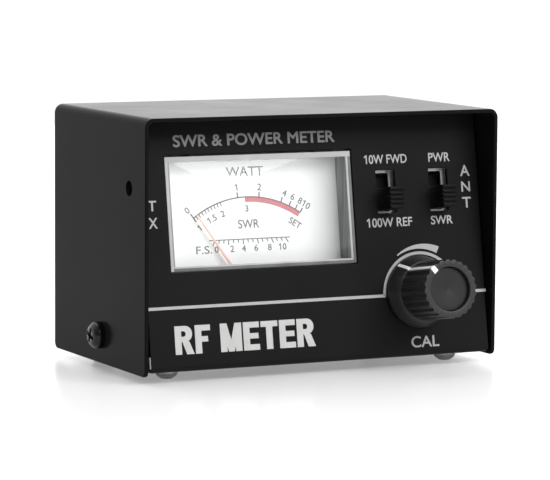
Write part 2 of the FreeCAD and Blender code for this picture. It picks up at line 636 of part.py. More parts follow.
def ground_lugs():
    """Two tinned lugs under the inner upper nuts, bent forward to the detector board's ground."""
    lugs = []
    for side in (-1, 1):
        x = side * (SOCKET_SPREAD - SOCKET_SCREW_SPACING / 2)
        y = -SOCKET_SCREW_SPACING / 2
        eye = ring(3.2, M3_RADIUS + 0.1, x, y, -1.56, -1.06)
        arm = box(x - 1.5, x + 1.5, y - 7.0, y - 2.6, -1.56, -1.06)
        leg = box(x - 1.5, x + 1.5, y - 7.0, y - 6.5, 0.02 - DETECTOR_DEPTH, -1.06)
        lugs.append(joined(eye, arm, leg))
    return lugs


# The detector board, in its own frame: z towards the front, y up, z = 0 on its rear face
def detector_board():
    board = rounded(box(-44, 44, -15, 17.5, 0, BOARD_SHEET), 1.5, Z_AXIS)
    return board.cut([rod(1.78, x, 0, -1, 3) for x in (-SOCKET_SPREAD, SOCKET_SPREAD)])


def through_line():
    """The copper strip that joins the two centre contacts."""
    reach = SOCKET_SPREAD
    strip = box(-reach, reach, -2.2, 2.2, BOARD_SHEET + 0.01, BOARD_SHEET + 0.5)
    return strip.cut([rod(1.74, x, 0, 0, 4) for x in (-reach, reach)])


def pickup_lines():
    """The two thin lines beside the through line that sample the forward and the reflected wave."""
    return [box(-22, 22, y - 0.5, y + 0.5, BOARD_SHEET + 0.01, BOARD_SHEET + 0.4) for y in (-4.6, 4.6)]


def axial_component(x, y, radius, length):
    """A body with wire leads bent down to the board."""
    z = BOARD_SHEET + radius + 0.4
    body = Part.makeCylinder(radius, length, V(x - length / 2, y, z), X_AXIS)
    reach = length / 2 + 1.6
    lead = Part.makeCylinder(0.3, 2 * reach, V(x - reach, y, z), X_AXIS)
    legs = [rod(0.36, x + side * reach, y, BOARD_SHEET + 0.01, z + 0.4) for side in (-1, 1)]
    return joined(body, lead, *legs)


def disc_component(x, y, radius, thick):
    """A ceramic disc that stands on two leads."""
    z = BOARD_SHEET + radius + 1.6
    disc = Part.makeCylinder(radius, thick, V(x, y - thick / 2, z), Y_AXIS)
    legs = [rod(0.3, x + side * radius * 0.5, y, BOARD_SHEET + 0.01, z) for side in (-1, 1)]
    return joined(disc, *legs)


def trimmer_base(x):
    base = centred_box(x, TRIMMER_Y, 7.0, 7.0, BOARD_SHEET + 0.01, BOARD_SHEET + 2.6)
    return base.cut(rod(2.65, x, TRIMMER_Y, BOARD_SHEET + 1.2, BOARD_SHEET + 3))


def trimmer_rotor(x):
    rotor = rod(2.6, x, TRIMMER_Y, BOARD_SHEET + 1.25, BOARD_SHEET + 3.2)
    return rotor.cut(centred_box(x, TRIMMER_Y, 0.7, 4.0, BOARD_SHEET + 2.5, BOARD_SHEET + 4))


def all_nodes():
    nodes = {
        "top_cover": top_cover(),
        "chassis": chassis(),
        "cover_screws": cover_screws(),
        "rubber_feet": rubber_feet(),
        "meter_window": on_panel(meter_window()),
        "meter_gasket": on_panel(meter_gasket()),
        "meter_case": on_panel(meter_case()),
        "dial_plate": on_panel(dial_plate()),
        "dial_screws": [on_panel(screw) for screw in dial_screws()],
        "needle": on_panel(needle()),
        "pivot_staff": [on_panel(half) for half in pivot_staff()],
        "moving_coil": on_panel(moving_coil()),
        "hairsprings": [on_panel(spring) for spring in hairsprings()],
        "core_magnet": on_panel(core_magnet()),
        "meter_yoke": on_panel(meter_yoke()),
        "front_bridge": on_panel(bridge(-4.6, -8.95)),
        "rear_bridge": on_panel(bridge(-22.2, -20.05)),
        "jewel_screws": [on_panel(screw) for screw in jewel_screws()],
        "meter_terminals": [on_panel(stud) for stud in meter_terminals()],
        "cal_knob": on_panel(cal_knob()),
        "cal_knob_cap": on_panel(cal_knob_cap()),
        "cal_pointer": on_panel(pointer_strip()),
        "pot_shaft": on_panel(pot_shaft()),
        "pot_bushing": on_panel(pot_bushing()),
        "pot_body": on_panel(pot_body()),
        "pot_nut": on_panel(pot_nut()),
        "pot_washer": on_panel(pot_washer()),
        "pot_wiper": on_panel(pot_wiper()),
        "pot_wafer": on_panel(pot_wafer()),
        "pot_terminals": [on_panel(pin) for pin in pot_terminals()],
        "control_board": on_panel(control_board()),
        "ground_lugs": [on_rear(lug) for lug in ground_lugs()],
        "detector_board": on_detector(detector_board()),
        "through_line": on_detector(through_line()),
        "pickup_lines": [on_detector(line) for line in pickup_lines()],
        "detector_diodes": [on_detector(axial_component(x, 8.0, 0.9, 4.0)) for x in (-27, 27)],
        "load_resistors": [on_detector(axial_component(x, y, 1.2, 6.3))
                           for x in (-27, 27) for y in (-8.0, -11.5)],
        "bypass_capacitors": [on_detector(disc_component(x, 13.0, 2.6, 1.6)) for x in (-29, -22, 22, 29)],
    }
    for name, x in (("range", RANGE_X), ("mode", MODE_X)):
        nodes[name + "_slider"] = on_panel(slider(x))
        nodes[name + "_switch_frame"] = on_panel(switch_frame(x))
        nodes[name + "_switch_base"] = on_panel(switch_base(x))
        nodes[name + "_switch_contacts"] = [on_panel(pin) for pin in switch_contacts(x)]
    for name, x in (("tx", -SOCKET_SPREAD), ("ant", SOCKET_SPREAD)):
        nodes[name + "_socket_shell"] = on_rear(socket_shell(x))
        nodes[name + "_socket_insulator"] = on_rear(socket_insulator(x))
        nodes[name + "_socket_contact"] = on_rear(socket_contact(x))
        nodes[name + "_socket_screws"] = [on_rear(screw) for screw in socket_screws(x)]
        nodes[name + "_socket_nuts"] = [on_rear(nut) for nut in socket_nuts(x)]
    for name, x in TRIMMER_PLACES.items():
        nodes[name + "_trimmer_base"] = on_detector(trimmer_base(x))
        nodes[name + "_trimmer_rotor"] = on_detector(trimmer_rotor(x))
    return nodes


os.makedirs("parts", exist_ok=True)
finished = all_nodes()
for name, shape in finished.items():
    if isinstance(shape, list):
        shape = Part.makeCompound(shape)
    if not shape.isValid():
        print("not valid:", name)
    shape.exportStep("parts/" + name + ".step")
print(len(finished), "nodes, cover front at", round(COVER_FRONT, 3))
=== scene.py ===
import bpy
import bmesh
import json
from math import asin, atan2, cos, exp, log, pi, radians, sin, sqrt, tan
from mathutils import Matrix, Vector


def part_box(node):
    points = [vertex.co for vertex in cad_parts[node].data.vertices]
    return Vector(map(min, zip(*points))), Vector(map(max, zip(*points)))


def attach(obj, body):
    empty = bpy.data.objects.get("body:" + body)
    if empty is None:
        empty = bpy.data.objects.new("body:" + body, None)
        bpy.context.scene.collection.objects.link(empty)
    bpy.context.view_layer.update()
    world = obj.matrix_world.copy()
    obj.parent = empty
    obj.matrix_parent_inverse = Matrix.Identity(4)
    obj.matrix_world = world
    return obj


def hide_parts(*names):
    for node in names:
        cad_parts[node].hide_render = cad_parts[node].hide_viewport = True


# The looks of an SWR and power meter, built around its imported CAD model.
#
# Pieces are modelled in millimetres in the frame of the surface that they sit on, and placed from there in
# the row frame, in metres. PANEL is the sloping front panel's frame: x along it from its middle, y up it
# from its lower edge, z out of it from its front face. REAR is the rear wall's, between the two sockets, as
# seen from behind. Both are worked out from the frame's joints, mounts and nodes.

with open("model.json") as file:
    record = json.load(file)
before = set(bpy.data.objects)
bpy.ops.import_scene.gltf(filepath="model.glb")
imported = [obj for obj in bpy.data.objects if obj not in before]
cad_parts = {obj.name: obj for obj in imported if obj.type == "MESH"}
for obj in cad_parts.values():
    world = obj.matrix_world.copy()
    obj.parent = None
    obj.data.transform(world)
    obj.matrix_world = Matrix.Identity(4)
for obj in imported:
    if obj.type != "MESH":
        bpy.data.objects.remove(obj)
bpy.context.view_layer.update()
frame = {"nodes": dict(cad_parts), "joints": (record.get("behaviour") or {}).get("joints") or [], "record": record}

MM = 0.001


# Places
def place(origin, right, up, out):
    """The matrix from a local frame in millimetres to the row frame in metres."""
    matrix = Matrix((right, up, out)).transposed().to_4x4() @ Matrix.Scale(MM, 4)
    matrix.translation = Vector(origin)
    return matrix


def joint(name):
    return next(j for j in frame["joints"] if j["name"] == name)


def mount(name):
    return next(m for m in frame["record"]["mounts"] if m["name"] == name)


def span(node, matrix):
    """The lowest and highest corner of a CAD node in a local frame, in millimetres."""
    inverse = matrix.inverted()
    points = [inverse @ v.co for v in frame["nodes"][node].data.vertices]
    low = Vector([min(p[k] for p in points) for k in range(3)])
    high = Vector([max(p[k] for p in points) for k in range(3)])
    return low, high


RIGHT = Vector((1, 0, 0))
UP = Vector(joint("range_slide")["axis"])
OUT = Vector(joint("cal_turn")["axis"])
# The CAL joint's place in the panel's frame, from which that frame's origin follows
CAL_JOINT = Vector((32.5, 18.75, 10.0))
PANEL = place((0, 0, 0), RIGHT, UP, OUT)
PANEL.translation = Vector(joint("cal_turn")["pos_m"]) - PANEL.to_3x3() @ CAL_JOINT
CAL = PANEL @ Matrix.Translation((CAL_JOINT.x, CAL_JOINT.y, 0))
REAR_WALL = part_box("chassis")[1].y
REAR = place((0, REAR_WALL, mount("tx_barrel")["pos_m"][2]), -RIGHT, Vector((0, 0, 1)), Vector((0, 1, 0)))


# Outlines: closed lists of (x, y) corners
def softened(corners, radius, steps=4):
    """An outline with its corners rounded. A corner is (x, y), or (x, y, radius) for a radius of its own."""
    points = []
    for k, corner in enumerate(corners):
        here, before = Vector(corner[:2]), Vector(corners[k - 1][:2])
        after = Vector(corners[(k + 1) % len(corners)][:2])
        size = corner[2] if len(corner) > 2 else radius
        half = (before - here).angle(after - here) / 2
        if size <= 0 or half > radians(89.5):
            points.append(tuple(here))
            continue
        reach = min(size / tan(half), 0.49 * (before - here).length, 0.49 * (after - here).length)
        size = reach * tan(half)
        a, b = (before - here).normalized(), (after - here).normalized()
        centre = here + (a + b).normalized() * (size / sin(half))
        first, last = here + a * reach - centre, here + b * reach - centre
        start = atan2(first.y, first.x)
        turn = (atan2(last.y, last.x) - start + pi) % (2 * pi) - pi
        for i in range(steps + 1):
            angle = start + turn * i / steps
            points.append((centre.x + size * cos(angle), centre.y + size * sin(angle)))
    return points


def rectangle(x0, x1, y0, y1, radius=0.0, steps=4):
    return softened([(x0, y0), (x1, y0), (x1, y1), (x0, y1)], radius, steps)


def circle(radius, x=0.0, y=0.0, steps=48):
    angles = [2 * pi * k / steps for k in range(steps)]
    return [(x + radius * cos(a), y + radius * sin(a)) for a in angles]


def shrunk(outline, distance):
    """The outline moved inwards by a distance."""
    count = len(outline)
    area = sum(outline[k - 1][0] * outline[k][1] - outline[k][0] * outline[k - 1][1] for k in range(count))
    side = 1 if area > 0 else -1
    points = []
    for k in range(count):
        here = Vector(outline[k])
        a = (here - Vector(outline[k - 1])).normalized()
        b = (Vector(outline[(k + 1) % count]) - here).normalized()
        along = (a + b).normalized()
        inward = Vector((-along.y, along.x)) * side
        points.append(tuple(here + inward * distance / max(0.5, a.dot(along))))
    return points


# Shells: (points, faces) of closed surfaces, in millimetres
def stack(loops):
    """A closed shell through loops of equally many points, with a flat face at each end."""
    count = len(loops[0])
    points = [p for loop in loops for p in loop]
    faces = [list(range(count)), list(range(len(points) - count, len(points)))]
    for level in range(len(loops) - 1):
        low, high = level * count, (level + 1) * count
        for k in range(count):
            n = (k + 1) % count
            faces.append([low + k, low + n, high + n, high + k])
    return points, faces


def tube(loops):
    """A closed shell through a ring of loops: the last loop joins the first."""
    count = len(loops[0])
    points = [p for loop in loops for p in loop]
    faces = []
    for level in range(len(loops)):
        low, high = level * count, (level + 1) % len(loops) * count
        for k in range(count):
            n = (k + 1) % count
            faces.append([low + k, low + n, high + n, high + k])
    return points, faces


def edge_steps(edge, z0, z1, steps):
    """(inset, z) pairs that round both ends of a slab's side."""
    turns = [pi / 2 * k / steps for k in range(steps + 1)]
    low = [(edge * (1 - sin(t)), z0 + edge * (1 - cos(t))) for t in turns]
    return low + [(inset, z1 - (z - z0)) for inset, z in reversed(low)]


def slab(outline, z0, z1, edge=0.1, steps=3):
    """A plate with rounded edges."""
    levels = edge_steps(edge, z0, z1, steps)
    return stack([[(x, y, z) for x, y in shrunk(outline, inset)] for inset, z in levels])


def pierced_slab(outline, hole, z0, z1, edge):
    """A plate with rounded edges and a hole. Both outlines have equally many points."""
    levels = edge_steps(edge, z0, z1, 3)
    outer = [[(x, y, z) for x, y in shrunk(outline, inset)] for inset, z in levels]
    inner = [[(x, y, z) for x, y in shrunk(hole, -inset)] for inset, z in reversed(levels)]
    return tube(outer + inner)


def lathe(profile, segments, radius_at=None):
    """A shell turned about z, from a closed outline of (radius, z). radius_at bends a radius by its angle."""
    points, rings = [], []
    for r, z in profile:
        if r < 1e-6:
            rings.append([len(points)])
            points.append((0.0, 0.0, z))
            continue
        rings.append(list(range(len(points), len(points) + segments)))
        for k in range(segments):
            angle = 2 * pi * k / segments
            bent = radius_at(r, z, angle) if radius_at else r
            points.append((bent * cos(angle), bent * sin(angle), z))
    faces = []
    for k, ring in enumerate(rings):
        other = rings[(k + 1) % len(rings)]
        if len(ring) == 1 and len(other) == 1:
            continue
        for i in range(segments):
            n = (i + 1) % segments
            if len(ring) == 1:
                faces.append([ring[0], other[n], other[i]])
            elif len(other) == 1:
                faces.append([ring[i], ring[n], other[0]])
            else:
                faces.append([ring[i], ring[n], other[n], other[i]])
    return points, faces


def moved(shell, matrix):
    points, faces = shell
    return [tuple(matrix @ Vector(p)) for p in points], faces


def shifted(shell, x, y, z=0.0):
    return moved(shell, Matrix.Translation((x, y, z)))


def spun(shell, degrees_turned):
    return moved(shell, Matrix.Rotation(radians(degrees_turned), 4, "Z"))


def weld(name, shells, finishes=None):
    """One mesh of several shells, each with its own material number."""
    built = bmesh.new()
    for number, (points, faces) in enumerate(shells):
        corners = [built.verts.new(p) for p in points]
        for face in faces:
            made = built.faces.new([corners[k] for k in face])
            made.material_index = finishes[number] if finishes else 0
    bmesh.ops.remove_doubles(built, verts=built.verts, dist=1e-5)
    bmesh.ops.recalc_face_normals(built, faces=built.faces)
    mesh = bpy.data.meshes.new(name)
    built.to_mesh(mesh)
    built.free()
    return mesh


def add_object(name, data):
    made = bpy.data.objects.new(name, data)
    bpy.context.scene.collection.objects.link(made)
    return made


def evaluated_mesh(made):
    """A new mesh of what an object shows: its mesh with its modifiers, or its text."""
    bpy.context.view_layer.update()
    return bpy.data.meshes.new_from_object(made.evaluated_get(bpy.context.evaluated_depsgraph_get()))


def piece(name, shells, where, body, looks, replaces=(), sharp=32.0, finishes=None, cutters=(),
          bevel=0.0):
    """An object of the visual model, from shells in a local frame."""
    made = add_object(name, weld(name, shells, finishes))
    for look in looks if isinstance(looks, list) else [looks]:
        made.data.materials.append(look)
    if cutters:
        carve(made, cutters, bevel)
    made.data.transform(where)
    made.data.polygons.foreach_set("use_smooth", [True] * len(made.data.polygons))
    made.data.set_sharp_from_angle(angle=radians(sharp))
    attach(made, body)
    if replaces:
        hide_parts(*replaces)
    return made


def carve(made, cutters, bevel):
    """Cuts shells out of an object, and rounds the new edges."""
    blade = add_object("blade", weld("blade", cutters))
    cut = made.modifiers.new("cut", "BOOLEAN")
    cut.operation = "DIFFERENCE"
    cut.solver = "EXACT"
    cut.use_self = True
    cut.object = blade
    if bevel:
        edge = made.modifiers.new("edge", "BEVEL")
        edge.width = bevel
        edge.segments = 2
        edge.limit_method = "ANGLE"
        edge.angle_limit = radians(40)
    result = evaluated_mesh(made)
    made.modifiers.clear()
    made.data = result
    bpy.data.objects.remove(blade)


# Materials
WHITE = (1, 1, 1, 1)


def add_node(tree, kind, inputs=None, **settings):
    """A new node, with its settings made and its inputs set or linked."""
    node = tree.nodes.new(kind)
    for name, value in settings.items():
        setattr(node, name, value)
    for name, value in (inputs or {}).items():
        if isinstance(value, bpy.types.NodeSocket):
            tree.links.new(value, node.inputs[name])
        else:
            node.inputs[name].default_value = value
    return node


class Look:
    """A material under construction."""

    def __init__(self, name):
        self.material = bpy.data.materials.new(name)
        self.material.use_nodes = True
        self.tree = self.material.node_tree
        self.tree.nodes.clear()
        self.place = self.add("ShaderNodeTexCoord").outputs["Object"]

    def add(self, kind, inputs=None, **settings):
        return add_node(self.tree, kind, inputs, **settings)

    def noise(self, size, detail=3.0, roughness=0.5, stretch=(1, 1, 1)):
        """Noise with features of a size in millimetres, stretched along the axes."""
        vector = self.place
        if stretch != (1, 1, 1):
            vector = self.add("ShaderNodeMapping", {"Vector": vector, "Scale": [1 / s for s in stretch]})
            vector = vector.outputs["Vector"]
        node = self.add("ShaderNodeTexNoise", {"Vector": vector, "Scale": 1 / (size * MM), "Detail": detail,
                                               "Roughness": roughness})
        return node.outputs["Fac"]

    def between(self, factor, low, high, start=0.3, end=0.7):
        node = self.add("ShaderNodeMapRange", {"Value": factor, "From Min": start, "From Max": end,
                                               "To Min": low, "To Max": high})
        return node.outputs["Result"]

    def blend(self, factor, first, second):
        node = self.add("ShaderNodeMix", data_type="RGBA")
        colours = [s for s in node.inputs if s.type == "RGBA"]
        factors = [s for s in node.inputs if s.type == "VALUE"]
        for socket, value in ((factors[0], factor), (colours[0], first), (colours[1], second)):
            if isinstance(value, bpy.types.NodeSocket):
                self.tree.links.new(value, socket)
            else:
                socket.default_value = value
        return [s for s in node.outputs if s.type == "RGBA"][0]

    def bump(self, height, depth, normal=None):
        """A relief of a depth in millimetres."""
        inputs = {"Height": height, "Distance": depth * MM, "Strength": 1.0}
        if normal is not None:
            inputs["Normal"] = normal
        return self.add("ShaderNodeBump", inputs).outputs["Normal"]

    def finish(self, shader):
        self.add("ShaderNodeOutputMaterial", {"Surface": shader})
        return self.material


def tone(colour, factor):
    return tuple(min(1.0, c * factor) for c in colour) + (1.0,)


def surface(name, colour, roughness, variation=0.12, patch=14.0, grain=0.4, relief=0.01, gloss=0.06,
            stretch=(1, 1, 1), **shader):
    """A material whose tone and gloss drift over patches, with a fine relief. Sizes are in millimetres."""
    look = Look(name)
    slow = look.noise(patch, 4.0)
    fine = look.noise(grain, 3.0, 0.6, stretch)
    base = look.blend(look.between(slow, 0.0, 1.0), tone(colour, 1 - variation), tone(colour, 1 + variation))
    inputs = {"Base Color": base, "Roughness": look.between(slow, roughness + gloss, roughness - gloss),
              "Normal": look.bump(fine, relief)}
    inputs.update({key.replace("_", " "): value for key, value in shader.items()})
    return look.finish(look.add("ShaderNodeBsdfPrincipled", inputs).outputs["BSDF"])


def paint(name, colour, roughness, ior, orange_peel, dust):
    """Black stoved paint: orange-peel relief, a finer grain on it, and a few pale specks of dust."""
    look = Look(name)
    peel = look.noise(0.9, 2.0)
    fine = look.noise(0.22, 2.0)
    slow = look.noise(22.0, 3.0)
    normal = look.bump(fine, orange_peel * 0.25, look.bump(peel, orange_peel))
    specks = look.between(look.noise(0.35, 1.0), 0.0, 1.0, 0.80, 0.86)
    base = look.blend(look.between(slow, 0.0, 1.0), tone(colour, 0.85), tone(colour, 1.15))
    base = look.blend(specks, base, tone(colour, dust))
    inputs = {"Base Color": base, "Roughness": look.between(slow, roughness + 0.02, roughness - 0.02),
              "Normal": normal, "IOR": ior}
    return look.finish(look.add("ShaderNodeBsdfPrincipled", inputs).outputs["BSDF"])


def clear_pane(name):
    """Clear plastic seen through: what is behind it shows, with a gloss on its outside that grows towards
    grazing."""
    look = Look(name)
    haze = look.noise(9.0, 3.0)
    scratches = look.noise(0.5, 2.0, 0.5, (14, 1, 1))
    normal = look.bump(scratches, 0.0006)
    gloss = look.add("ShaderNodeBsdfGlossy", {
        "Color": WHITE, "Roughness": look.between(haze, 0.02, 0.07), "Normal": normal})
    clear = look.add("ShaderNodeBsdfTransparent", {"Color": (0.97, 0.975, 0.975, 1)})
    fresnel = look.add("ShaderNodeFresnel", {"IOR": 1.35, "Normal": normal}).outputs["Fac"]
    inner_side = look.add("ShaderNodeNewGeometry").outputs["Backfacing"]
    share = look.add("ShaderNodeMath", {0: fresnel, 1: look.between(inner_side, 1.0, 0.0, 0.0, 1.0)},
                     operation="MULTIPLY").outputs["Value"]
    mix = look.add("ShaderNodeMixShader", {0: share, 1: clear.outputs["BSDF"], 2: gloss.outputs["BSDF"]})
    return look.finish(mix.outputs["Shader"])


def painted_refraction_look(part, dark, light, size, stretch=(1, 1, 1)):
    """The clear plastic's moulded edges and walls, as milky strips whose pale and grey tones are painted light and
    shade standing in for what the clear edges refract; they let most of the light through.
    """
    look = Look("clear_plastic_painted_light_" + part)
    streaks = look.noise(size, 1.5, 0.5, stretch)
    colour = look.blend(look.between(streaks, 0.0, 1.0), (dark, dark, dark * 1.02, 1),
                        (light, light, light * 1.01, 1))
    milky = look.add("ShaderNodeBsdfPrincipled", {
        "Base Color": colour, "Roughness": look.between(streaks, 0.3, 0.45),
        "Normal": look.bump(streaks, 0.006), "IOR": 1.25})
    clear = look.add("ShaderNodeBsdfTransparent", {"Color": (0.98, 0.98, 0.98, 1)})
    lit_through = look.add("ShaderNodeLightPath").outputs["Is Shadow Ray"]
    share = look.between(lit_through, 0.0, 0.8, 0.0, 1.0)
    mix = look.add("ShaderNodeMixShader", {0: share, 1: milky.outputs["BSDF"], 2: clear.outputs["BSDF"]})
    return look.finish(mix.outputs["Shader"])


def dial_card_with_painted_shade(name, colour, shaded_from, shaded_to, shade):
    """The dial's matt white card, greyer towards its right end by painted shade, which stands for the shade that
    the case throws there.

    The painted shade deepens between two places along x, in millimetres."""
    look = Look(name)
    fine = look.noise(0.3, 3.0)
    slow = look.noise(18.0, 4.0)
    along = look.add("ShaderNodeSeparateXYZ", {"Vector": look.place}).outputs["X"]
    limits = {"Value": along, "From Min": shaded_from * MM, "From Max": shaded_to * MM}
    painted_shade_fall = look.add("ShaderNodeMapRange", limits, interpolation_type="SMOOTHSTEP").outputs["Result"]
    base = look.blend(look.between(slow, 0.0, 1.0), tone(colour, 0.985), tone(colour, 1.0))
    base = look.blend(painted_shade_fall, base, tone(colour, shade))
    return look.finish(look.add("ShaderNodeBsdfPrincipled", {
        "Base Color": base, "Roughness": look.between(slow, 0.58, 0.52),
        "Normal": look.bump(fine, 0.003)}).outputs["BSDF"])


def ink(name, colour):
    """Screen-printed ink: slightly uneven in tone where the paint below shows through."""
    return surface(name, colour, 0.45, 0.05, 2.5, 0.15, 0.004, 0.04)


LOOKS = {
    "cover_paint": paint("cover_paint", (0.0064, 0.0064, 0.0067), 0.21, 1.08, 0.003, 2.2),
    "panel_paint": paint("panel_paint", (0.0064, 0.0064, 0.0067), 0.42, 1.16, 0.008, 2.0),
    "black_hardware": surface("black_hardware", (0.004, 0.004, 0.0044), 0.15, 0.2, 2.0, 0.25, 0.003, 0.04,
                              IOR=1.38),
    "foot_rubber": surface("foot_rubber", (0.46, 0.46, 0.47), 0.22, 0.06, 3.0, 0.3, 0.004, 0.04,
                           Transmission_Weight=0.60, IOR=1.35),
    "foam": surface("foam", (0.010, 0.010, 0.010), 0.95, 0.3, 0.8, 0.25, 0.08),
    "case_plastic": surface("case_plastic", (0.012, 0.012, 0.013), 0.45, 0.15, 6.0, 0.3, 0.006),
    "dial_print": dial_card_with_painted_shade("dial_card_with_painted_shade", (0.91, 0.91, 0.905), -3.0, 8.0, 0.73),
    "needle_paint": surface("needle_paint", (0.90, 0.53, 0.44), 0.40, 0.08, 1.5, 0.2, 0.004),
    "steel": surface("steel", (0.55, 0.55, 0.54), 0.32, 0.08, 5.0, 0.12, 0.003, 0.07, (9, 1, 1),
                     Metallic=1.0),
    "iron": surface("iron", (0.30, 0.30, 0.30), 0.45, 0.15, 4.0, 0.2, 0.005, Metallic=1.0),
    "magnet": surface("magnet", (0.20, 0.20, 0.21), 0.40, 0.2, 3.0, 0.3, 0.006, Metallic=1.0),
    "copper": surface("copper", (0.72, 0.36, 0.22), 0.30, 0.15, 2.0, 0.2, 0.003, Metallic=1.0),
    "brass": surface("brass", (0.70, 0.50, 0.22), 0.28, 0.10, 3.0, 0.2, 0.003, Metallic=1.0),
    "nickel": surface("nickel", (0.66, 0.64, 0.60), 0.24, 0.06, 4.0, 0.15, 0.003, 0.05, Metallic=1.0),
    "black_plastic": surface("black_plastic", (0.030, 0.030, 0.031), 0.42, 0.12, 3.0, 0.18, 0.006, 0.05),
    "white_plastic": surface("white_plastic", (0.80, 0.80, 0.79), 0.40, 0.03, 5.0, 0.2, 0.004),
    "phenolic": surface("phenolic", (0.075, 0.036, 0.016), 0.5, 0.25, 1.5, 0.12, 0.006, 0.05, (1, 6, 1)),
    "board": surface("board", (0.025, 0.12, 0.045), 0.38, 0.22, 2.5, 0.25, 0.012, 0.08),
    "ceramic": surface("ceramic", (0.62, 0.33, 0.10), 0.45, 0.10, 1.2, 0.15, 0.008),
    "diode_glass": surface("diode_glass", (0.55, 0.17, 0.06), 0.08, 0.15, 0.8, 0.2, 0.002, 0.03,
                           Transmission_Weight=0.5),
    "resistor_body": surface("resistor_body", (0.36, 0.52, 0.60), 0.42, 0.12, 1.0, 0.12, 0.006),
    "insulator": surface("insulator", (0.86, 0.85, 0.82), 0.42, 0.04, 3.0, 0.2, 0.005, 0.05),
    "trimmer_blue": surface("trimmer_blue", (0.03, 0.12, 0.42), 0.38, 0.10, 1.0, 0.15, 0.005),
}
CLEAR = clear_pane("clear_plastic")
# The lid's walls and rim: the pale walls and the rim's upper and left side are painted light, the right wall and
# the rim's right and lower side are painted shade, and the lines inside the rim are a painted highlight and a
# painted shade line
CLEAR_WALL_PAINTED_LIGHT = painted_refraction_look("wall", 0.55, 0.75, 6.0)
CLEAR_SIDE_PAINTED_SHADE = painted_refraction_look("side", 0.15, 0.32, 1.1, (1, 1, 22))
CLEAR_RIM_PAINTED_LIGHT = painted_refraction_look("rim", 0.36, 0.42, 8.0)
CLEAR_CHAMFER_PAINTED_SHADE = painted_refraction_look("chamfer", 0.11, 0.16, 8.0)
CLEAR_EDGE_PAINTED_HIGHLIGHT = painted_refraction_look("edge", 0.36, 0.46, 8.0)
CLEAR_LINE_PAINTED_SHADE = painted_refraction_look("shade", 0.22, 0.28, 8.0)
LEGEND_INK = ink("legend_ink", (0.33, 0.33, 0.325))
# A darker ink for the title: painted shade for the visor's shadow over the panel's top
TITLE_INK_PAINTED_SHADE = ink("title_ink_painted_shade", (0.17, 0.17, 0.168))
BLOCK_INK = ink("block_ink", (0.43, 0.43, 0.425))
DIAL_INK = ink("dial_ink", (0.17, 0.17, 0.18))
DIAL_RED = ink("dial_red", (0.60, 0.21, 0.225))
SLIDER_BLACK = surface("slider_black", (0.0042, 0.0042, 0.0044), 0.40, 0.12, 3.0, 0.18, 0.005, 0.05, IOR=1.17)
# Pale grey, partly bare metal and partly painted light, where the table's light reaches into the gap beside the
# cover
BARE_EDGE_AND_PAINTED_LIGHT = surface("bare_edge_and_painted_light", (0.20, 0.20, 0.20), 0.5, 0.06, 3.0, 0.15, 0.003, 0.05)
SWITCH_ZINC = surface("switch_zinc", (0.78, 0.78, 0.77), 0.42, 0.06, 3.0, 0.15, 0.003, 0.06, Metallic=0.5)
KNOB_WHITE = surface("knob_white", (0.74, 0.74, 0.72), 0.42, 0.05, 1.5, 0.15, 0.004)
KNOB_BLACK = surface("knob_black", (0.0128, 0.0128, 0.0131), 0.42, 0.10, 2.5, 0.16, 0.006, 0.05, IOR=1.43)
CAP_BLACK = surface("cap_black", (0.0085, 0.0085, 0.0088), 0.42, 0.08, 2.5, 0.16, 0.005, 0.04, IOR=1.36)


def finish_cad_nodes():
    """Gives every CAD node the material of its slot in the record."""
    for part in frame["record"]["subparts"]:
        slot = part["material_slot"]
        look = CLEAR if slot == "clear_plastic" else LOOKS[slot]
        if part["node"].endswith("switch_frame"):
            look = SWITCH_ZINC
        mesh = frame["nodes"][part["node"]].data
        if not mesh.materials:
            mesh.materials.append(look)
        for k in range(len(mesh.materials)):
            mesh.materials[k] = look


# The calibration knob
FLUTES = 24
FLUTE_RADIUS = 0.9
FLUTE_CENTRE_OUT = 0.45
FLUTES_FROM = 6.0
POINTER_ANGLE = 40.0
KNOB_LOW, KNOB_HIGH = span("cal_knob", CAL)
KNOB_TOP = KNOB_HIGH.z
SKIRT = KNOB_HIGH.x
BODY = SKIRT - 2.0
RECESS = BODY - 2.2


def flute_radius(angle):
    """The body's radius at an angle, with softened edges between flute and land.

    One flute lies under the pointer, which is POINTER_ANGLE past the local y axis."""
    pitch = 2 * pi / FLUTES
    offset = (angle - pi / 2 - radians(POINTER_ANGLE) + pitch / 2) % pitch - pitch / 2
    centre = BODY + FLUTE_CENTRE_OUT
    if abs(offset) >= asin(FLUTE_RADIUS / centre):
        return BODY
    flute = centre * cos(offset) - sqrt(FLUTE_RADIUS**2 - (centre * sin(offset))**2)
    blur = 0.05
    return -blur * log(exp(-BODY / blur) + exp(-flute / blur))


def knob_radius(r, z, angle):
    """A point's radius with the flutes, which start above the skirt and stay off the recess."""
    if z < FLUTES_FROM or r < RECESS + 0.9:
        return r
    return min(r, flute_radius(angle))


def knob_outline(gain=0.0):
    """(radius, z) corners of the knob's outside, from the skirt's rim to the front."""
    return [(SKIRT + gain, KNOB_LOW.z, 0.15), (SKIRT + gain, 1.7, 0.35), (BODY + 0.75 + gain, 5.2, 0.8),
            (BODY + 0.36 + gain, 5.99, 0.1), (BODY + 0.34 + gain, 6.02, 0.0), (BODY + gain, 6.25, 0.12),
            (BODY + gain, KNOB_TOP, 0.32)]


def cal_knob():
    """The knob's skirt, its fluted body and the recess in its front."""
    inside = [(RECESS, KNOB_TOP, 0.28), (RECESS, KNOB_TOP - 2.4, 0.1), (0, KNOB_TOP - 2.4), (0, 15),
              (3.02, 15, 0.1), (3.02, 5, 0.2), (7.2, 5, 0.2), (7.2, KNOB_LOW.z, 0.1)]
    outline = softened(knob_outline() + inside, 0.1)
    piece("knob", [lathe(outline, FLUTES * 16, knob_radius)], CAL, "calibration", KNOB_BLACK,
          ["cal_knob"], 38)


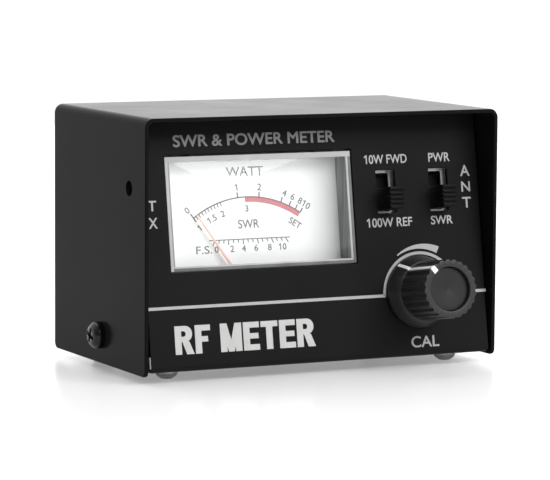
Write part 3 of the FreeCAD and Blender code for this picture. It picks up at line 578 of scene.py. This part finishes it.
def cal_cap():
    """The disc in the knob's recess."""
    low, high = span("cal_knob_cap", CAL)
    r = high.x
    outline = softened([(0, low.z), (r, low.z, 0.1), (r, high.z, 0.3), (r - 1.0, high.z - 0.02, 1.0),
                        (0, high.z - 0.10)], 0.1, 5)
    piece("knob_cap", [lathe(outline, 96)], CAL, "calibration", CAP_BLACK, ["cal_knob_cap"])


def cal_pointer():
    """The white line on the knob: along the skirt and body, then over the front rim."""
    half, depth, edge = 0.52, 0.4, 0.08
    inside = [(BODY - 3, KNOB_TOP, 0.0), (BODY - 3, KNOB_LOW.z, 0.0)]
    line = softened(knob_outline(0.06) + inside, 0.1)
    line = [(r, z) for r, z in line if r > BODY - 0.3 and z > KNOB_LOW.z + 0.16]
    loops = []
    for k, (r, z) in enumerate(line):
        ends = k in (0, len(line) - 1)
        width = half - (edge if ends else 0.0)
        loops.append([(-width, r - depth, z), (width, r - depth, z), (width, r - 0.05, z),
                      (width - edge, r, z), (-width + edge, r, z), (-width, r - 0.05, z)])
    tip = slab(rectangle(-0.8, 0.8, RECESS + 0.12, BODY - 0.1, 0.15), KNOB_TOP - 0.8, KNOB_TOP + 0.03, 0.06)
    shells = [spun(stack(loops), POINTER_ANGLE), spun(tip, POINTER_ANGLE)]
    piece("knob_pointer", shells, CAL, "calibration", KNOB_WHITE, ["cal_pointer"])


# The slide switches
RIBS = 5


def slider(name):
    """A switch's slider: a ribbed stem that stands out of the slot, on a plate behind the panel."""
    low, high = span(name + "_slider", PANEL)
    middle = (low + high) / 2
    stem_half, reach = 2.35, 3.3
    plate_top, overlap = low.z + 1.4, 0.2
    y0, y1, top = middle.y - reach, middle.y + reach, high.z
    pitch = (y1 - y0) / RIBS
    rib, groove = pitch * 0.58, 0.7
    corners = [(y0, plate_top - overlap, 0.0), (y1, plate_top - overlap, 0.0)]
    for k in reversed(range(RIBS)):
        left = y0 + k * pitch + (pitch - rib) / 2
        corners += [(left + rib, top, 0.22), (left, top, 0.22)]
        if k:
            corners += [(left, top - groove, 0.1), (left - (pitch - rib), top - groove, 0.1)]
    corners[2] = (y1, top, 0.25)
    corners[-1] = (y0, top, 0.25)
    side = softened(corners, 0.1, 3)
    across = Matrix(((0, 0, 1, middle.x), (1, 0, 0, 0), (0, 1, 0, 0), (0, 0, 0, 1)))
    stem = moved(slab(side, -stem_half, stem_half, 0.16), across)
    plate = slab(rectangle(low.x, high.x, low.y, high.y, 0.6), low.z, plate_top, 0.15)
    piece(name + "_knob", [stem, plate], PANEL, name + "_switch", SLIDER_BLACK,
          [name + "_slider"])


# The meter
PIVOT_X, PIVOT_Y = -18.3, 18.9
NEEDLE_REST = 33.7
NEEDLE_LENGTH = 30.8
DIAL_FACE = span("dial_plate", PANEL)[1].z


def needle():
    """The pointer: a tapered blade, its hub and its counterweight. At rest it leans to the left."""
    back = span("needle", PANEL)[0].z
    z0, z1 = back + 0.1, back + 0.4
    tip, waist = NEEDLE_LENGTH, NEEDLE_LENGTH * 0.7
    outline = [(-0.44, 1.2), (0.44, 1.2), (0.28, waist), (0.22, tip), (-0.22, tip), (-0.28, waist)]
    blade = slab(outline, z0, z1, 0.05, 2)
    tail = slab(rectangle(-0.4, 0.4, -5.0, -1.2, 0.1), z0, z1, 0.05, 2)
    weight = slab(circle(1.2, 0, -5.2, 40), back, back + 0.5, 0.1)
    hub = pierced_slab(circle(1.6), circle(0.42), z0, z1, 0.05)
    shells = [shifted(spun(shell, NEEDLE_REST), PIVOT_X, PIVOT_Y) for shell in (blade, tail, weight, hub)]
    piece("pointer_needle", shells, PANEL, "movement", LOOKS["needle_paint"], ["needle"])


def meter_window():
    """The clear lid: a bevelled front in the panel's window, its flange behind, and three walls to the dial.

    The walls and the front's rim are milky strips in painted light and shade, for what the clear plastic's edges
    refract:
    the right wall and the rim's right and lower side are grey painted shade with a painted bright line inside
    them, the left side has a painted shade line inside it, and the other walls and the rim's upper and left side
    are pale."""
    low, high = span("meter_window", PANEL)
    flange, chamfer, gap = 2.1, 0.5, 0.3
    x0, x1, y0, y1 = low.x + flange, high.x - flange, low.y + flange, high.y - flange - gap
    wide = rectangle(low.x, high.x, low.y, high.y, 0.8)
    front = rectangle(x0, x1, y0, y1, 0.8)
    back, shoulder = -3.0, -1.5
    levels = [(wide, 0.1, back), (wide, 0.0, back + 0.1), (wide, 0.0, shoulder - 0.1), (wide, 0.1, shoulder),
              (front, 0.0, shoulder + 0.01), (front, 0.0, high.z - chamfer),
              (front, chamfer * 0.5, high.z - 0.12), (front, chamfer, high.z)]
    lid = stack([[(x, y, z) for x, y in shrunk(outline, inset)] for outline, inset, z in levels])

    thick, depth = 0.7, (low.z, high.z - 0.35)
    left, right, low_end, top = x0 + 0.9, x1 - 0.9, y0 + 1.1, y1 - 0.7
    margin, rim, top_rim, skin = 0.05, 0.95, 1.6, (high.z - 0.3, high.z + 0.02)
    line, low_line, shade = 0.6, 0.5, 0.45
    # The left, top and right walls, the rim's top, left, right and low sides, then the lines inside the rim, each
    # in its painted light or shade
    strips = [
        (CLEAR_WALL_PAINTED_LIGHT, left, left + thick, low_end, top, depth),
        (CLEAR_WALL_PAINTED_LIGHT, left + thick, right - thick, top - thick, top, depth),
        (CLEAR_SIDE_PAINTED_SHADE, right - thick, right, low_end, top, depth),
        (CLEAR_RIM_PAINTED_LIGHT, x0 + margin, x1 - margin, y1 - top_rim, y1 - margin, skin),
        (CLEAR_RIM_PAINTED_LIGHT, x0 + margin, x0 + rim, y0 + 0.1, y1 - top_rim, skin),
        (CLEAR_CHAMFER_PAINTED_SHADE, x1 - rim, x1 - margin, y0 + 0.1, y1 - top_rim, skin),
        (CLEAR_CHAMFER_PAINTED_SHADE, x0 + rim, x1 - rim, y0 + margin, y0 + rim, skin),
        (CLEAR_EDGE_PAINTED_HIGHLIGHT, x1 - rim - line, x1 - rim, y0 + rim, y1 - top_rim, skin),
        (CLEAR_EDGE_PAINTED_HIGHLIGHT, x0 + rim, x1 - rim, y0 + rim, y0 + rim + low_line, skin),
        (CLEAR_LINE_PAINTED_SHADE, x0 + rim, x0 + rim + shade, y0 + rim + low_line, y1 - top_rim, skin),
    ]
    looks = [CLEAR, CLEAR_WALL_PAINTED_LIGHT, CLEAR_SIDE_PAINTED_SHADE, CLEAR_RIM_PAINTED_LIGHT, CLEAR_CHAMFER_PAINTED_SHADE, CLEAR_EDGE_PAINTED_HIGHLIGHT, CLEAR_LINE_PAINTED_SHADE]
    shells = [lid] + [slab(rectangle(*sides), *ends, 0.04, 2) for _, *sides, ends in strips]
    finishes = [0] + [looks.index(strip[0]) for strip in strips]
    piece("meter_lid", shells, PANEL, "case", looks, ["meter_window"], finishes=finishes)


# Print: flat shells of ink. Strokes that cross lie a LAYER apart, as a share of the ink's depth.
INK_DEPTH = 0.03
PRINT_Z = INK_DEPTH / 2 + 0.005
LAYER = 0.06
STROKE_WEIGHT = 0.02
STROKE_COPIES = 8


def letters(text, weight):
    """A flat shell of the text, one unit high and thick, with its width in the same units.

    The font's one is a bare stroke: a text that starts with it gets a flag there. Copies shifted by the
    weight make the strokes heavier, each on its own layer."""
    curve = bpy.data.curves.new("lettering", "FONT")
    curve.body = text
    curve.extrude = 0.5
    curve.resolution_u = 5
    made = add_object("lettering", curve)
    mesh = evaluated_mesh(made)
    points = [Vector(v.co) for v in mesh.vertices]
    faces = [list(p.vertices) for p in mesh.polygons]
    bpy.data.objects.remove(made)
    bpy.data.curves.remove(curve)
    bpy.data.meshes.remove(mesh)
    x0, x1 = min(p.x for p in points), max(p.x for p in points)
    y0, y1 = min(p.y for p in points), max(p.y for p in points)
    size = y1 - y0
    if text[0] == "1":
        stem, left = x0 + 0.04 * size, x0 - 0.24 * size
        flag = [(stem, y1), (stem, y1 - 0.20 * size), (left, y1 - 0.32 * size), (left, y1 - 0.19 * size)]
        flag_points, flag_faces = stack([[(x, y, z) for x, y in flag] for z in (-0.5, 0.5)])
        faces += [[k + len(points) for k in face] for face in flag_faces]
        points += [Vector(p) for p in flag_points]
        x0 = left
    points = [((p.x - (x0 + x1) / 2) / size, (p.y - (y0 + y1) / 2) / size, p.z) for p in points]
    copies, count = [], len(points)
    for k in range(STROKE_COPIES):
        angle = 2 * pi * k / STROKE_COPIES
        dx, dy = weight * cos(angle), weight * sin(angle)
        copies += [(x + dx, y + dy, z + LAYER * k) for x, y, z in points]
    shrink = 1 / (1 + 2 * weight)
    copies = [(x * shrink, y * shrink, z) for x, y, z in copies]
    faces = [[i + k * count for i in face] for k in range(STROKE_COPIES) for face in faces]
    return copies, faces, ((x1 - x0) / size + 2 * weight) * shrink


def text_in(text, x0, x1, y0, y1, z, weight=STROKE_WEIGHT):
    """Text that fills a box."""
    points, faces, width = letters(text, weight)
    fit = Matrix.Diagonal(((x1 - x0) / width, y1 - y0, INK_DEPTH, 1))
    return moved((points, faces), Matrix.Translation(((x0 + x1) / 2, (y0 + y1) / 2, z)) @ fit)


def text_at(text, x, y, height, z, turn=0.0):
    """Text of a height about a point, turned anticlockwise by degrees."""
    points, faces, _ = letters(text, STROKE_WEIGHT)
    fit = Matrix.Rotation(radians(turn), 4, "Z") @ Matrix.Diagonal((height, height, INK_DEPTH, 1))
    return moved((points, faces), Matrix.Translation((x, y, z)) @ fit)


def flat(outline, z):
    """A printed patch."""
    return stack([[(x, y, z - h) for x, y in outline] for h in (INK_DEPTH / 2, -INK_DEPTH / 2)])


def bar(x0, y0, x1, y1, width, z):
    """A straight printed line."""
    start, end = Vector((x0, y0)), Vector((x1, y1))
    along = (end - start).normalized()
    side = Vector((-along.y, along.x)) * width / 2
    return flat([start - side, end - side, end + side, start + side], z)


def arc(x, y, first, last, inner, outer, z, steps=40):
    """A printed arc about (x, y). Angles are in degrees from straight up, clockwise. Radii may taper."""
    inner_ends = inner if isinstance(inner, tuple) else (inner, inner)
    outer_ends = outer if isinstance(outer, tuple) else (outer, outer)
    outline = []
    for ends, order in ((inner_ends, range(steps + 1)), (outer_ends, reversed(range(steps + 1)))):
        for k in order:
            angle = radians(first + (last - first) * k / steps)
            radius = ends[0] + (ends[1] - ends[0]) * k / steps
            outline.append((x + radius * sin(angle), y + radius * cos(angle)))
    return flat(outline, z)


def block_letter(letter, x0, x1, y0, y1, z):
    """A heavy letter drawn from strokes: uprights, and thinner level ones."""
    upright, level = 0.25 * (y1 - y0), 0.205 * (y1 - y0)
    middle, step = (y0 + y1) / 2, LAYER * INK_DEPTH
    stem = rectangle(x0, x0 + upright, y0, y1)
    if letter == "T":
        centre = (x0 + x1) / 2
        strokes = [rectangle(centre - upright / 2, centre + upright / 2, y0, y1),
                   rectangle(x0, x1, y1 - level, y1)]
    elif letter in "EF":
        reach = x1 - 0.3 if letter == "E" else x1 - 0.8
        strokes = [stem, rectangle(x0, x1, y1 - level, y1),
                   rectangle(x0, reach, middle - level * 0.45, middle + level * 0.5)]
        if letter == "E":
            strokes.append(rectangle(x0, x1, y0, y0 + level))
    elif letter == "M":
        centre, head = (x0 + x1) / 2, upright * 1.05
        foot = head * 0.42
        strokes = [stem, rectangle(x1 - upright, x1, y0, y1)]
        for x, side in ((x0, 1), (x1, -1)):
            strokes.append([(x, y1), (x + side * head, y1), (centre + side * foot, y0),
                            (centre - side * foot, y0)])
    else:
        waist, bowl, full = y0 + 0.44 * (y1 - y0), x1 - 0.35, 9.0
        outer = softened([(x0, waist), (bowl, waist, full), (bowl, y1, full), (x0, y1)], 0, 8)
        x2, y2, y3 = bowl - upright, waist + level * 0.9, y1 - level * 0.9
        inner = softened([(x0 + upright, y2), (x2, y2, full), (x2, y3, full), (x0 + upright, y3)], 0, 8)
        half = INK_DEPTH / 2
        ring = tube([[(x, y, z + h) for x, y in outline]
                     for outline, h in ((outer, -half), (outer, half), (inner, half), (inner, -half))])
        leg = [(x1 + 0.1, y0), (x1 + 0.1 - upright * 1.15, y0), (x0 + upright * 1.1, waist + 0.1),
               (x0 + upright * 2.2, waist + 0.1)]
        return [flat(stem, z), shifted(ring, 0, 0, step), flat(leg, z + 2 * step)]
    return [flat(outline, z + k * step) for k, outline in enumerate(strokes)]


def block_text(text, x0, x1, y0, y1, z):
    """Heavy capitals that fill a box."""
    widths = {"R": 0.84, "F": 0.70, "M": 0.98, "E": 0.74, "T": 0.78, " ": 0.30}
    gap = 0.075
    total = sum(widths[c] for c in text) + gap * (len(text) - 1)
    unit = (x1 - x0) / total
    shells, x = [], x0
    for c in text:
        if c != " ":
            shells += block_letter(c, x, x + widths[c] * unit, y0, y1, z)
        x += (widths[c] + gap) * unit
    return shells


def panel_legends():
    """The white print on the front panel."""
    z, line = PRINT_Z, 0.88
    arc_x, arc_y, around = 33.5, 18.07, 12.2
    edge = span("chassis", PANEL)[1].x
    left_end, right_end = -edge + 0.5, edge - 0.2
    shells = [
        text_in("T", -53.4, -50.7, 46.0, 49.0, z),
        text_in("X", -53.4, -50.7, 41.0, 44.1, z),
        text_in("10W FWD", 17.3, 31.6, 57.2, 59.9, z),
        text_in("100W REF", 16.9, 32.1, 38.4, 41.1, z),
        text_in("PWR", 38.95, 46.2, 57.2, 59.9, z),
        text_in("SWR", 38.5, 45.9, 38.5, 41.1, z),
        text_in("A", 49.5, 52.7, 52.6, 55.9, z),
        text_in("N", 49.6, 52.6, 47.9, 51.0, z),
        text_in("T", 49.6, 52.6, 43.1, 46.3, z),
        text_in("CAL", 29.2, 38.6, 2.2, 5.6, z),
        bar(left_end, arc_y, arc_x - around + 0.3, arc_y, line, z),
        bar(arc_x + around - 0.3, arc_y, right_end, arc_y, line, z),
        arc(arc_x, arc_y, -90, 90, around - line / 2, around + line / 2, z, 72),
        arc(arc_x, arc_y, -31.5, 27.2, (13.55, 13.35), (13.9, 15.5), z, 30),
    ]
    piece("panel_legends", shells, PANEL, "case", LEGEND_INK)
    # The title in the darker ink: painted shade where the visor shadows the panel
    title = text_in("SWR & POWER METER", -44.3, 7.9, 64.1, 67.6, z, 0.03)
    piece("panel_title", [title], PANEL, "case", TITLE_INK_PAINTED_SHADE)
    name = block_text("RF METER", -47.5, -2.6, 4.6, 12.8, z)
    piece("panel_name", name, PANEL, "case", BLOCK_INK)


def rear_legends():
    """The two sockets' names on the rear wall, above them."""
    shells = []
    for name, text in (("tx_barrel", "TX"), ("ant_barrel", "ANT")):
        x = -mount(name)["pos_m"][0] / MM
        shells.append(text_at(text, x, 20.0, 4.0, PRINT_Z))
    piece("rear_legends", shells, REAR, "case", LEGEND_INK)


SCALE_RADIUS = 30.5


def on_dial(radius, angle):
    """A point of the dial by its distance from the needle's pivot and its angle from straight up."""
    return PIVOT_X + radius * sin(radians(angle)), PIVOT_Y + radius * cos(radians(angle))


def radial(first, last, angle, width, z):
    """A mark on a line through the pivot, between two distances from it."""
    return bar(*on_dial(first, angle), *on_dial(last, angle), width, z)


def dial_marks():
    """The dial's grey print: the power scale above the arc, the SWR scale below it, and a straight scale."""
    z = DIAL_FACE + PRINT_Z
    shells = [arc(PIVOT_X, PIVOT_Y, -35.2, 34.0, SCALE_RADIUS - 0.19, SCALE_RADIUS + 0.19, z, 60)]
    watt_marks = (-5.6, 7.3, 21.0, 26.4, 30.6, 34.0)
    shells += [radial(SCALE_RADIUS, SCALE_RADIUS + 1.6, angle, 0.42, z) for angle in watt_marks]
    shells.append(radial(SCALE_RADIUS - 1.4, SCALE_RADIUS + 1.6, -35.2, 0.42, z))
    watt = (("0", -35.6), ("1", -5.7), ("2", 7.2), ("4", 21.6), ("6", 26.5), ("8", 31.0), ("10", 34.9))
    shells += [text_at(text, *on_dial(33.5, angle), 2.0, z, -angle) for text, angle in watt]
    swr = (("1", -35.9), ("1.5", -25.6), ("2", -17.5), ("3", -0.6))
    shells += [text_at(text, *on_dial(27.1, angle), 1.9, z, -angle) for text, angle in swr]
    shells += [radial(SCALE_RADIUS - 1.2, SCALE_RADIUS, -33.5 + 2.1 * k, 0.3, z) for k in range(9)]
    shells += [
        radial(SCALE_RADIUS - 1.6, SCALE_RADIUS, -0.9, 0.3, z),
        text_in("WATT", -24.6, -12.5, 55.5, 58.3, z, 0.012),
        text_in("SWR", -21.7, -14.9, 40.2, 42.8, z, 0.012),
        text_at("SET", *on_dial(26.9, 34.4), 2.0, z, -33),
        text_in("F.S.", -35.7, -30.6, 33.3, 35.6, z, 0.01),
    ]
    level, first, last, steps = 37.1, -29.6, -6.6, 15
    shells.append(bar(-31.3, level, -5.1, level, 0.28, z))
    for k in range(steps + 1):
        share = k / steps
        x = first + (last - first) * share
        drop = 1.5 if k % 3 == 0 else 1.0
        shells.append(bar(x, level, x + drop * 0.9 * (share - 0.35), level - drop, 0.32, z))
    for text, x in (("0", -29.1), ("2", -24.1), ("4", -20.3), ("6", -16.3), ("8", -11.9), ("10", -7.7)):
        shells.append(text_at(text, x, 34.4, 1.9, z))
    piece("dial_marks", shells, PANEL, "case", DIAL_INK)


def dial_red():
    """The red band where the reflected power is too high."""
    z = DIAL_FACE + PRINT_Z
    piece("dial_red_band", [arc(PIVOT_X, PIVOT_Y, -0.9, 34.0, SCALE_RADIUS - 1.5, SCALE_RADIUS - 0.2, z)],
          PANEL, "case", DIAL_RED)


def sheared_edge_and_painted_light():
    """The bare sheared edge at the panel's lower left corner, in the gap beside the cover: a pale strip, partly
    bare metal and partly painted light, only low down where light from the table reaches into the gap.
    """
    tabs_beyond = 0.45
    edge = span("chassis", PANEL)[0].x + tabs_beyond
    strip = slab(rectangle(edge - 0.3, edge + 0.1, 1.0, 4.3), -0.95, -0.12, 0.02)
    piece("sheared_edge_and_painted_light", [strip], PANEL, "case", BARE_EDGE_AND_PAINTED_LIGHT)


# Feet, screws and sockets
def feet():
    """The four rubber feet, narrower at the bottom."""
    low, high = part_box("rubber_feet")
    radius, base, top = 3.4, 1.7, high.z / MM - 0.02
    outline = softened([(0, 0), (base, 0, 1.2), (radius - 0.25, 1.1, 1.6), (radius, 2.2, 2.0),
                        (radius, top, 0.15), (0, top)], 0.1, 5)
    shells = []
    for x in (low.x / MM + radius, high.x / MM - radius):
        for y in (low.y / MM + radius, high.y / MM - radius):
            shells.append(shifted(lathe(outline, 56), x, y))
    piece("feet", shells, Matrix.Scale(MM, 4), "case", LOOKS["foot_rubber"], ["rubber_feet"])


def screw_head(radius, height):
    """A pan head and a stub of its shank."""
    return lathe(softened([(0, -1.0), (radius * 0.5, -1.0, 0.1), (radius * 0.5, 0, 0.0), (radius, 0, 0.15),
                           (radius, height * 0.55, height * 0.35), (radius * 0.66, height, radius * 0.5),
                           (0, height)], 0.1, 6), 56)


def cross_cutter(width, depth, top):
    """The two arms of a cross recess that narrow to their bottom."""
    half, thin = width / 2, width * 0.13
    loops = []
    for x, y, z in ((half * 0.35, thin * 0.55, top - depth), (half, thin, top + 0.1)):
        loops.append([(-x, -y, z), (x, -y, z), (x, y, z), (-x, y, z)])
    arm = stack(loops)
    return [arm, spun(arm, 90)]


def side_screws():
    """The cover's two screws, with their recesses turned a little."""
    low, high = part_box("cover_screws")
    radius = (high.y - low.y) / 2 / MM
    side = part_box("top_cover")[1].x
    height = (high.x - side) / MM
    middle = (low + high) / 2
    for name, sign in (("left", -1), ("right", 1)):
        where = place((sign * side, middle.y, middle.z), Vector((0, -sign, 0)), Vector((0, 0, 1)),
                      Vector((sign, 0, 0)))
        where = where @ Matrix.Rotation(radians(20), 4, "Z")
        recess = cross_cutter(radius * 1.2, height * 0.7, height)
        piece("side_screw_" + name, [screw_head(radius, height)], where, "case", LOOKS["black_hardware"],
              ["cover_screws"], 40, cutters=recess, bevel=0.06)


# The sockets' flange screws lie SCREW_REACH from the middle, across and up
SCREW_REACH = 18.25 / 2
FLANGE_TOP = 2.4
THREAD_PITCH = 1.058
THREAD_DEPTH = 0.55
BARREL_SIDES = 64


def threaded(z, angle, crest, start, end):
    """The barrel's radius at a height and an angle, with a helical thread that runs out at both ends."""
    turn = (z / THREAD_PITCH - angle / (2 * pi)) % 1.0
    wave = min(1.0, max(0.0, 2.2 * abs(turn - 0.5) - 0.05))
    fade = min(1.0, max(0.0, (z - start) / 0.8)) * min(1.0, max(0.0, (end - z) / 0.6))
    return crest - THREAD_DEPTH * wave * fade


def socket_shell(name, x):
    """A coaxial socket's flange, and its threaded barrel with two nicks in the rim."""
    low, high = span(name + "_socket_shell", REAR)
    half = (high.x - low.x) / 2
    top, crest, bore = high.z, 7.94, 6.1
    square = rectangle(-half, half, -half, half, 2.0, 11)
    angles = [atan2(py, px) for px, py in square]
    hole = [(crest * 0.97 * cos(a), crest * 0.97 * sin(a)) for a in angles]
    flange = pierced_slab(square, hole, 0.02, FLANGE_TOP, 0.25)
    thread_from, thread_to = FLANGE_TOP + 0.6, top - 0.5
    rings = int((thread_to - thread_from) / THREAD_PITCH * 10)
    outer = [(crest, thread_from + (thread_to - thread_from) * k / rings) for k in range(rings + 1)]
    inner = softened([(bore, top, 0.25), (bore, 7.0, 0.1), (5.4, 7.0, 0.1), (5.4, -4.0, 0.1),
                      (6.8, -4.0, 0.1), (6.8, 1.0, 0.0), (crest * 0.98, 1.0, 0.0),
                      (crest, FLANGE_TOP + 0.1, 0.0)], 0.1)
    rim = [(crest, top - 0.45), (crest - 0.35, top - 0.08), (crest - 0.5, top)]

    def radius_at(r, z, angle):
        if thread_from <= z <= thread_to and r > crest - 0.01:
            return threaded(z, angle, crest, thread_from, thread_to)
        return r

    barrel = lathe(outer + rim + inner, BARREL_SIDES, radius_at)
    notches = [slab(rectangle(-0.8, 0.8, y - 1.2, y + 1.2), top - 1.0, top + 1.0, 0.02, 1)
               for y in (-7.2, 7.2)]
    holes = [slab(circle(1.6, sx * SCREW_REACH, sy * SCREW_REACH, 28), -1.0, FLANGE_TOP + 1.0, 0.02, 1)
             for sx in (-1, 1) for sy in (-1, 1)]
    shift = Matrix.Translation((x, 0, 0))
    piece(name + "_socket_barrel", [moved(barrel, shift)], REAR, "case", LOOKS["nickel"],
          [name + "_socket_shell"], 50, cutters=[moved(n, shift) for n in notches])
    piece(name + "_socket_flange", [moved(flange, shift)], REAR, "case", LOOKS["nickel"],
          [name + "_socket_shell"], 40, cutters=[moved(h, shift) for h in holes])


def socket_screws(name, x):
    """The four screws of a socket's flange, each left at an angle of its own."""
    for number, (sx, sy) in enumerate(((-1, -1), (1, -1), (-1, 1), (1, 1))):
        where = REAR @ Matrix.Translation((x + sx * SCREW_REACH, sy * SCREW_REACH, FLANGE_TOP + 0.02))
        where = where @ Matrix.Rotation(radians(17 + 31 * number), 4, "Z")
        piece(f"{name}_socket_screw_{number + 1}", [screw_head(2.8, 2.0)], where, "case", LOOKS["steel"],
              [name + "_socket_screws"], 40, cutters=cross_cutter(3.4, 1.4, 2.0), bevel=0.05)


# Stage, camera and light
def camera():
    """The view's angle: from the left of the front, a little above, with a long lens."""
    azimuth, elevation, roll = radians(-26.38), radians(6.35), radians(0.378)
    target = Vector((-16.46 * MM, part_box("top_cover")[0].y, 40.05 * MM))
    distance = 919.9 * MM
    back = Vector((sin(azimuth) * cos(elevation), -cos(azimuth) * cos(elevation), sin(elevation)))
    level = Vector((0, 0, 1)).cross(back).normalized()
    upright = back.cross(level)
    right = level * cos(roll) + upright * sin(roll)
    up = upright * cos(roll) - level * sin(roll)
    data = bpy.data.cameras.new("camera")
    data.lens = 208.39
    data.sensor_width = 36.0
    made = add_object("camera", data)
    made.matrix_world = Matrix((right, up, back)).transposed().to_4x4()
    made.location = target + back * distance
    bpy.context.scene.camera = made


def softbox(name, position, size, power):
    """A rectangular lamp that faces the object's middle."""
    data = bpy.data.lights.new(name, "AREA")
    data.shape = "RECTANGLE"
    data.size, data.size_y = size
    data.energy = power
    made = add_object(name, data)
    made.location = position
    aim = Vector((0, 0, 0.04)) - Vector(position)
    made.rotation_euler = aim.to_track_quat("-Z", "Y").to_euler()


def studio():
    """A white sweep behind, a dim room in front with a bright part on its right, and light from above."""
    world = bpy.data.worlds.new("studio")
    bpy.context.scene.world = world
    world.use_nodes = True
    tree = world.node_tree
    tree.nodes.clear()
    direction = add_node(tree, "ShaderNodeTexCoord").outputs["Generated"]

    def background(strength):
        return add_node(tree, "ShaderNodeBackground", {"Color": WHITE, "Strength": strength}).outputs[0]

    def glow(towards, first, last, dim, bright):
        """A part of the room whose brightness rises as a direction nears another."""
        nearness = add_node(tree, "ShaderNodeVectorMath", {0: direction, 1: Vector(towards).normalized()},
                            operation="DOT_PRODUCT").outputs["Value"]
        limits = {"Value": nearness, "From Min": first, "From Max": last, "To Min": dim, "To Max": bright}
        rise = add_node(tree, "ShaderNodeMapRange", limits, interpolation_type="SMOOTHSTEP")
        return background(rise.outputs["Result"])

    sweep = glow((0, 1, 0), -0.4, 0.6, 0.34, 1.5)
    bright_part = glow((0.44, -0.88, 0.20), 0.80, 0.97, 0.0, 0.45)
    room = add_node(tree, "ShaderNodeAddShader", {0: sweep, 1: bright_part}).outputs[0]
    seen = add_node(tree, "ShaderNodeLightPath").outputs["Is Camera Ray"]
    mix = add_node(tree, "ShaderNodeMixShader", {0: seen, 1: room, 2: background(1.05)})
    add_node(tree, "ShaderNodeOutputWorld", {"Surface": mix.outputs[0]})
    softbox("key", (0.45, -1.05, 0.90), (1.2, 0.7), 21.0)
    softbox("top", (0.1, 0.50, 1.60), (1.6, 1.2), 9.0)


def floor():
    """A pale glossy table top, faintly lit from below."""
    look = Look("table")
    slow = look.noise(180.0, 3.0)
    colour = look.blend(look.between(slow, 0.0, 1.0), (0.64, 0.64, 0.64, 1), (0.67, 0.67, 0.67, 1))
    shader = look.add("ShaderNodeBsdfPrincipled", {
        "Base Color": colour, "Roughness": look.between(slow, 0.28, 0.24), "IOR": 1.45,
        "Emission Color": WHITE, "Emission Strength": 0.26})
    finished = look.finish(shader.outputs["BSDF"])
    mesh = bpy.data.meshes.new("table")
    half = 0.9
    corners = [(-half, -half, 0), (half, -half, 0), (half, half, 0), (-half, half, 0)]
    mesh.from_pydata(corners, [], [(0, 1, 2, 3)])
    mesh.materials.append(finished)
    made = add_object("table", mesh)
    made.location.z = -0.0002


camera()
studio()
floor()
bpy.context.scene.view_settings.view_transform = "Standard"
finish_cad_nodes()
cal_knob()
cal_cap()
cal_pointer()
slider("range")
slider("mode")
needle()
meter_window()
panel_legends()
rear_legends()
dial_marks()
dial_red()
sheared_edge_and_painted_light()
feet()
side_screws()
for socket in ("tx", "ant"):
    across = -mount(socket + "_barrel")["pos_m"][0] / MM
    socket_shell(socket, across)
    socket_screws(socket, across)
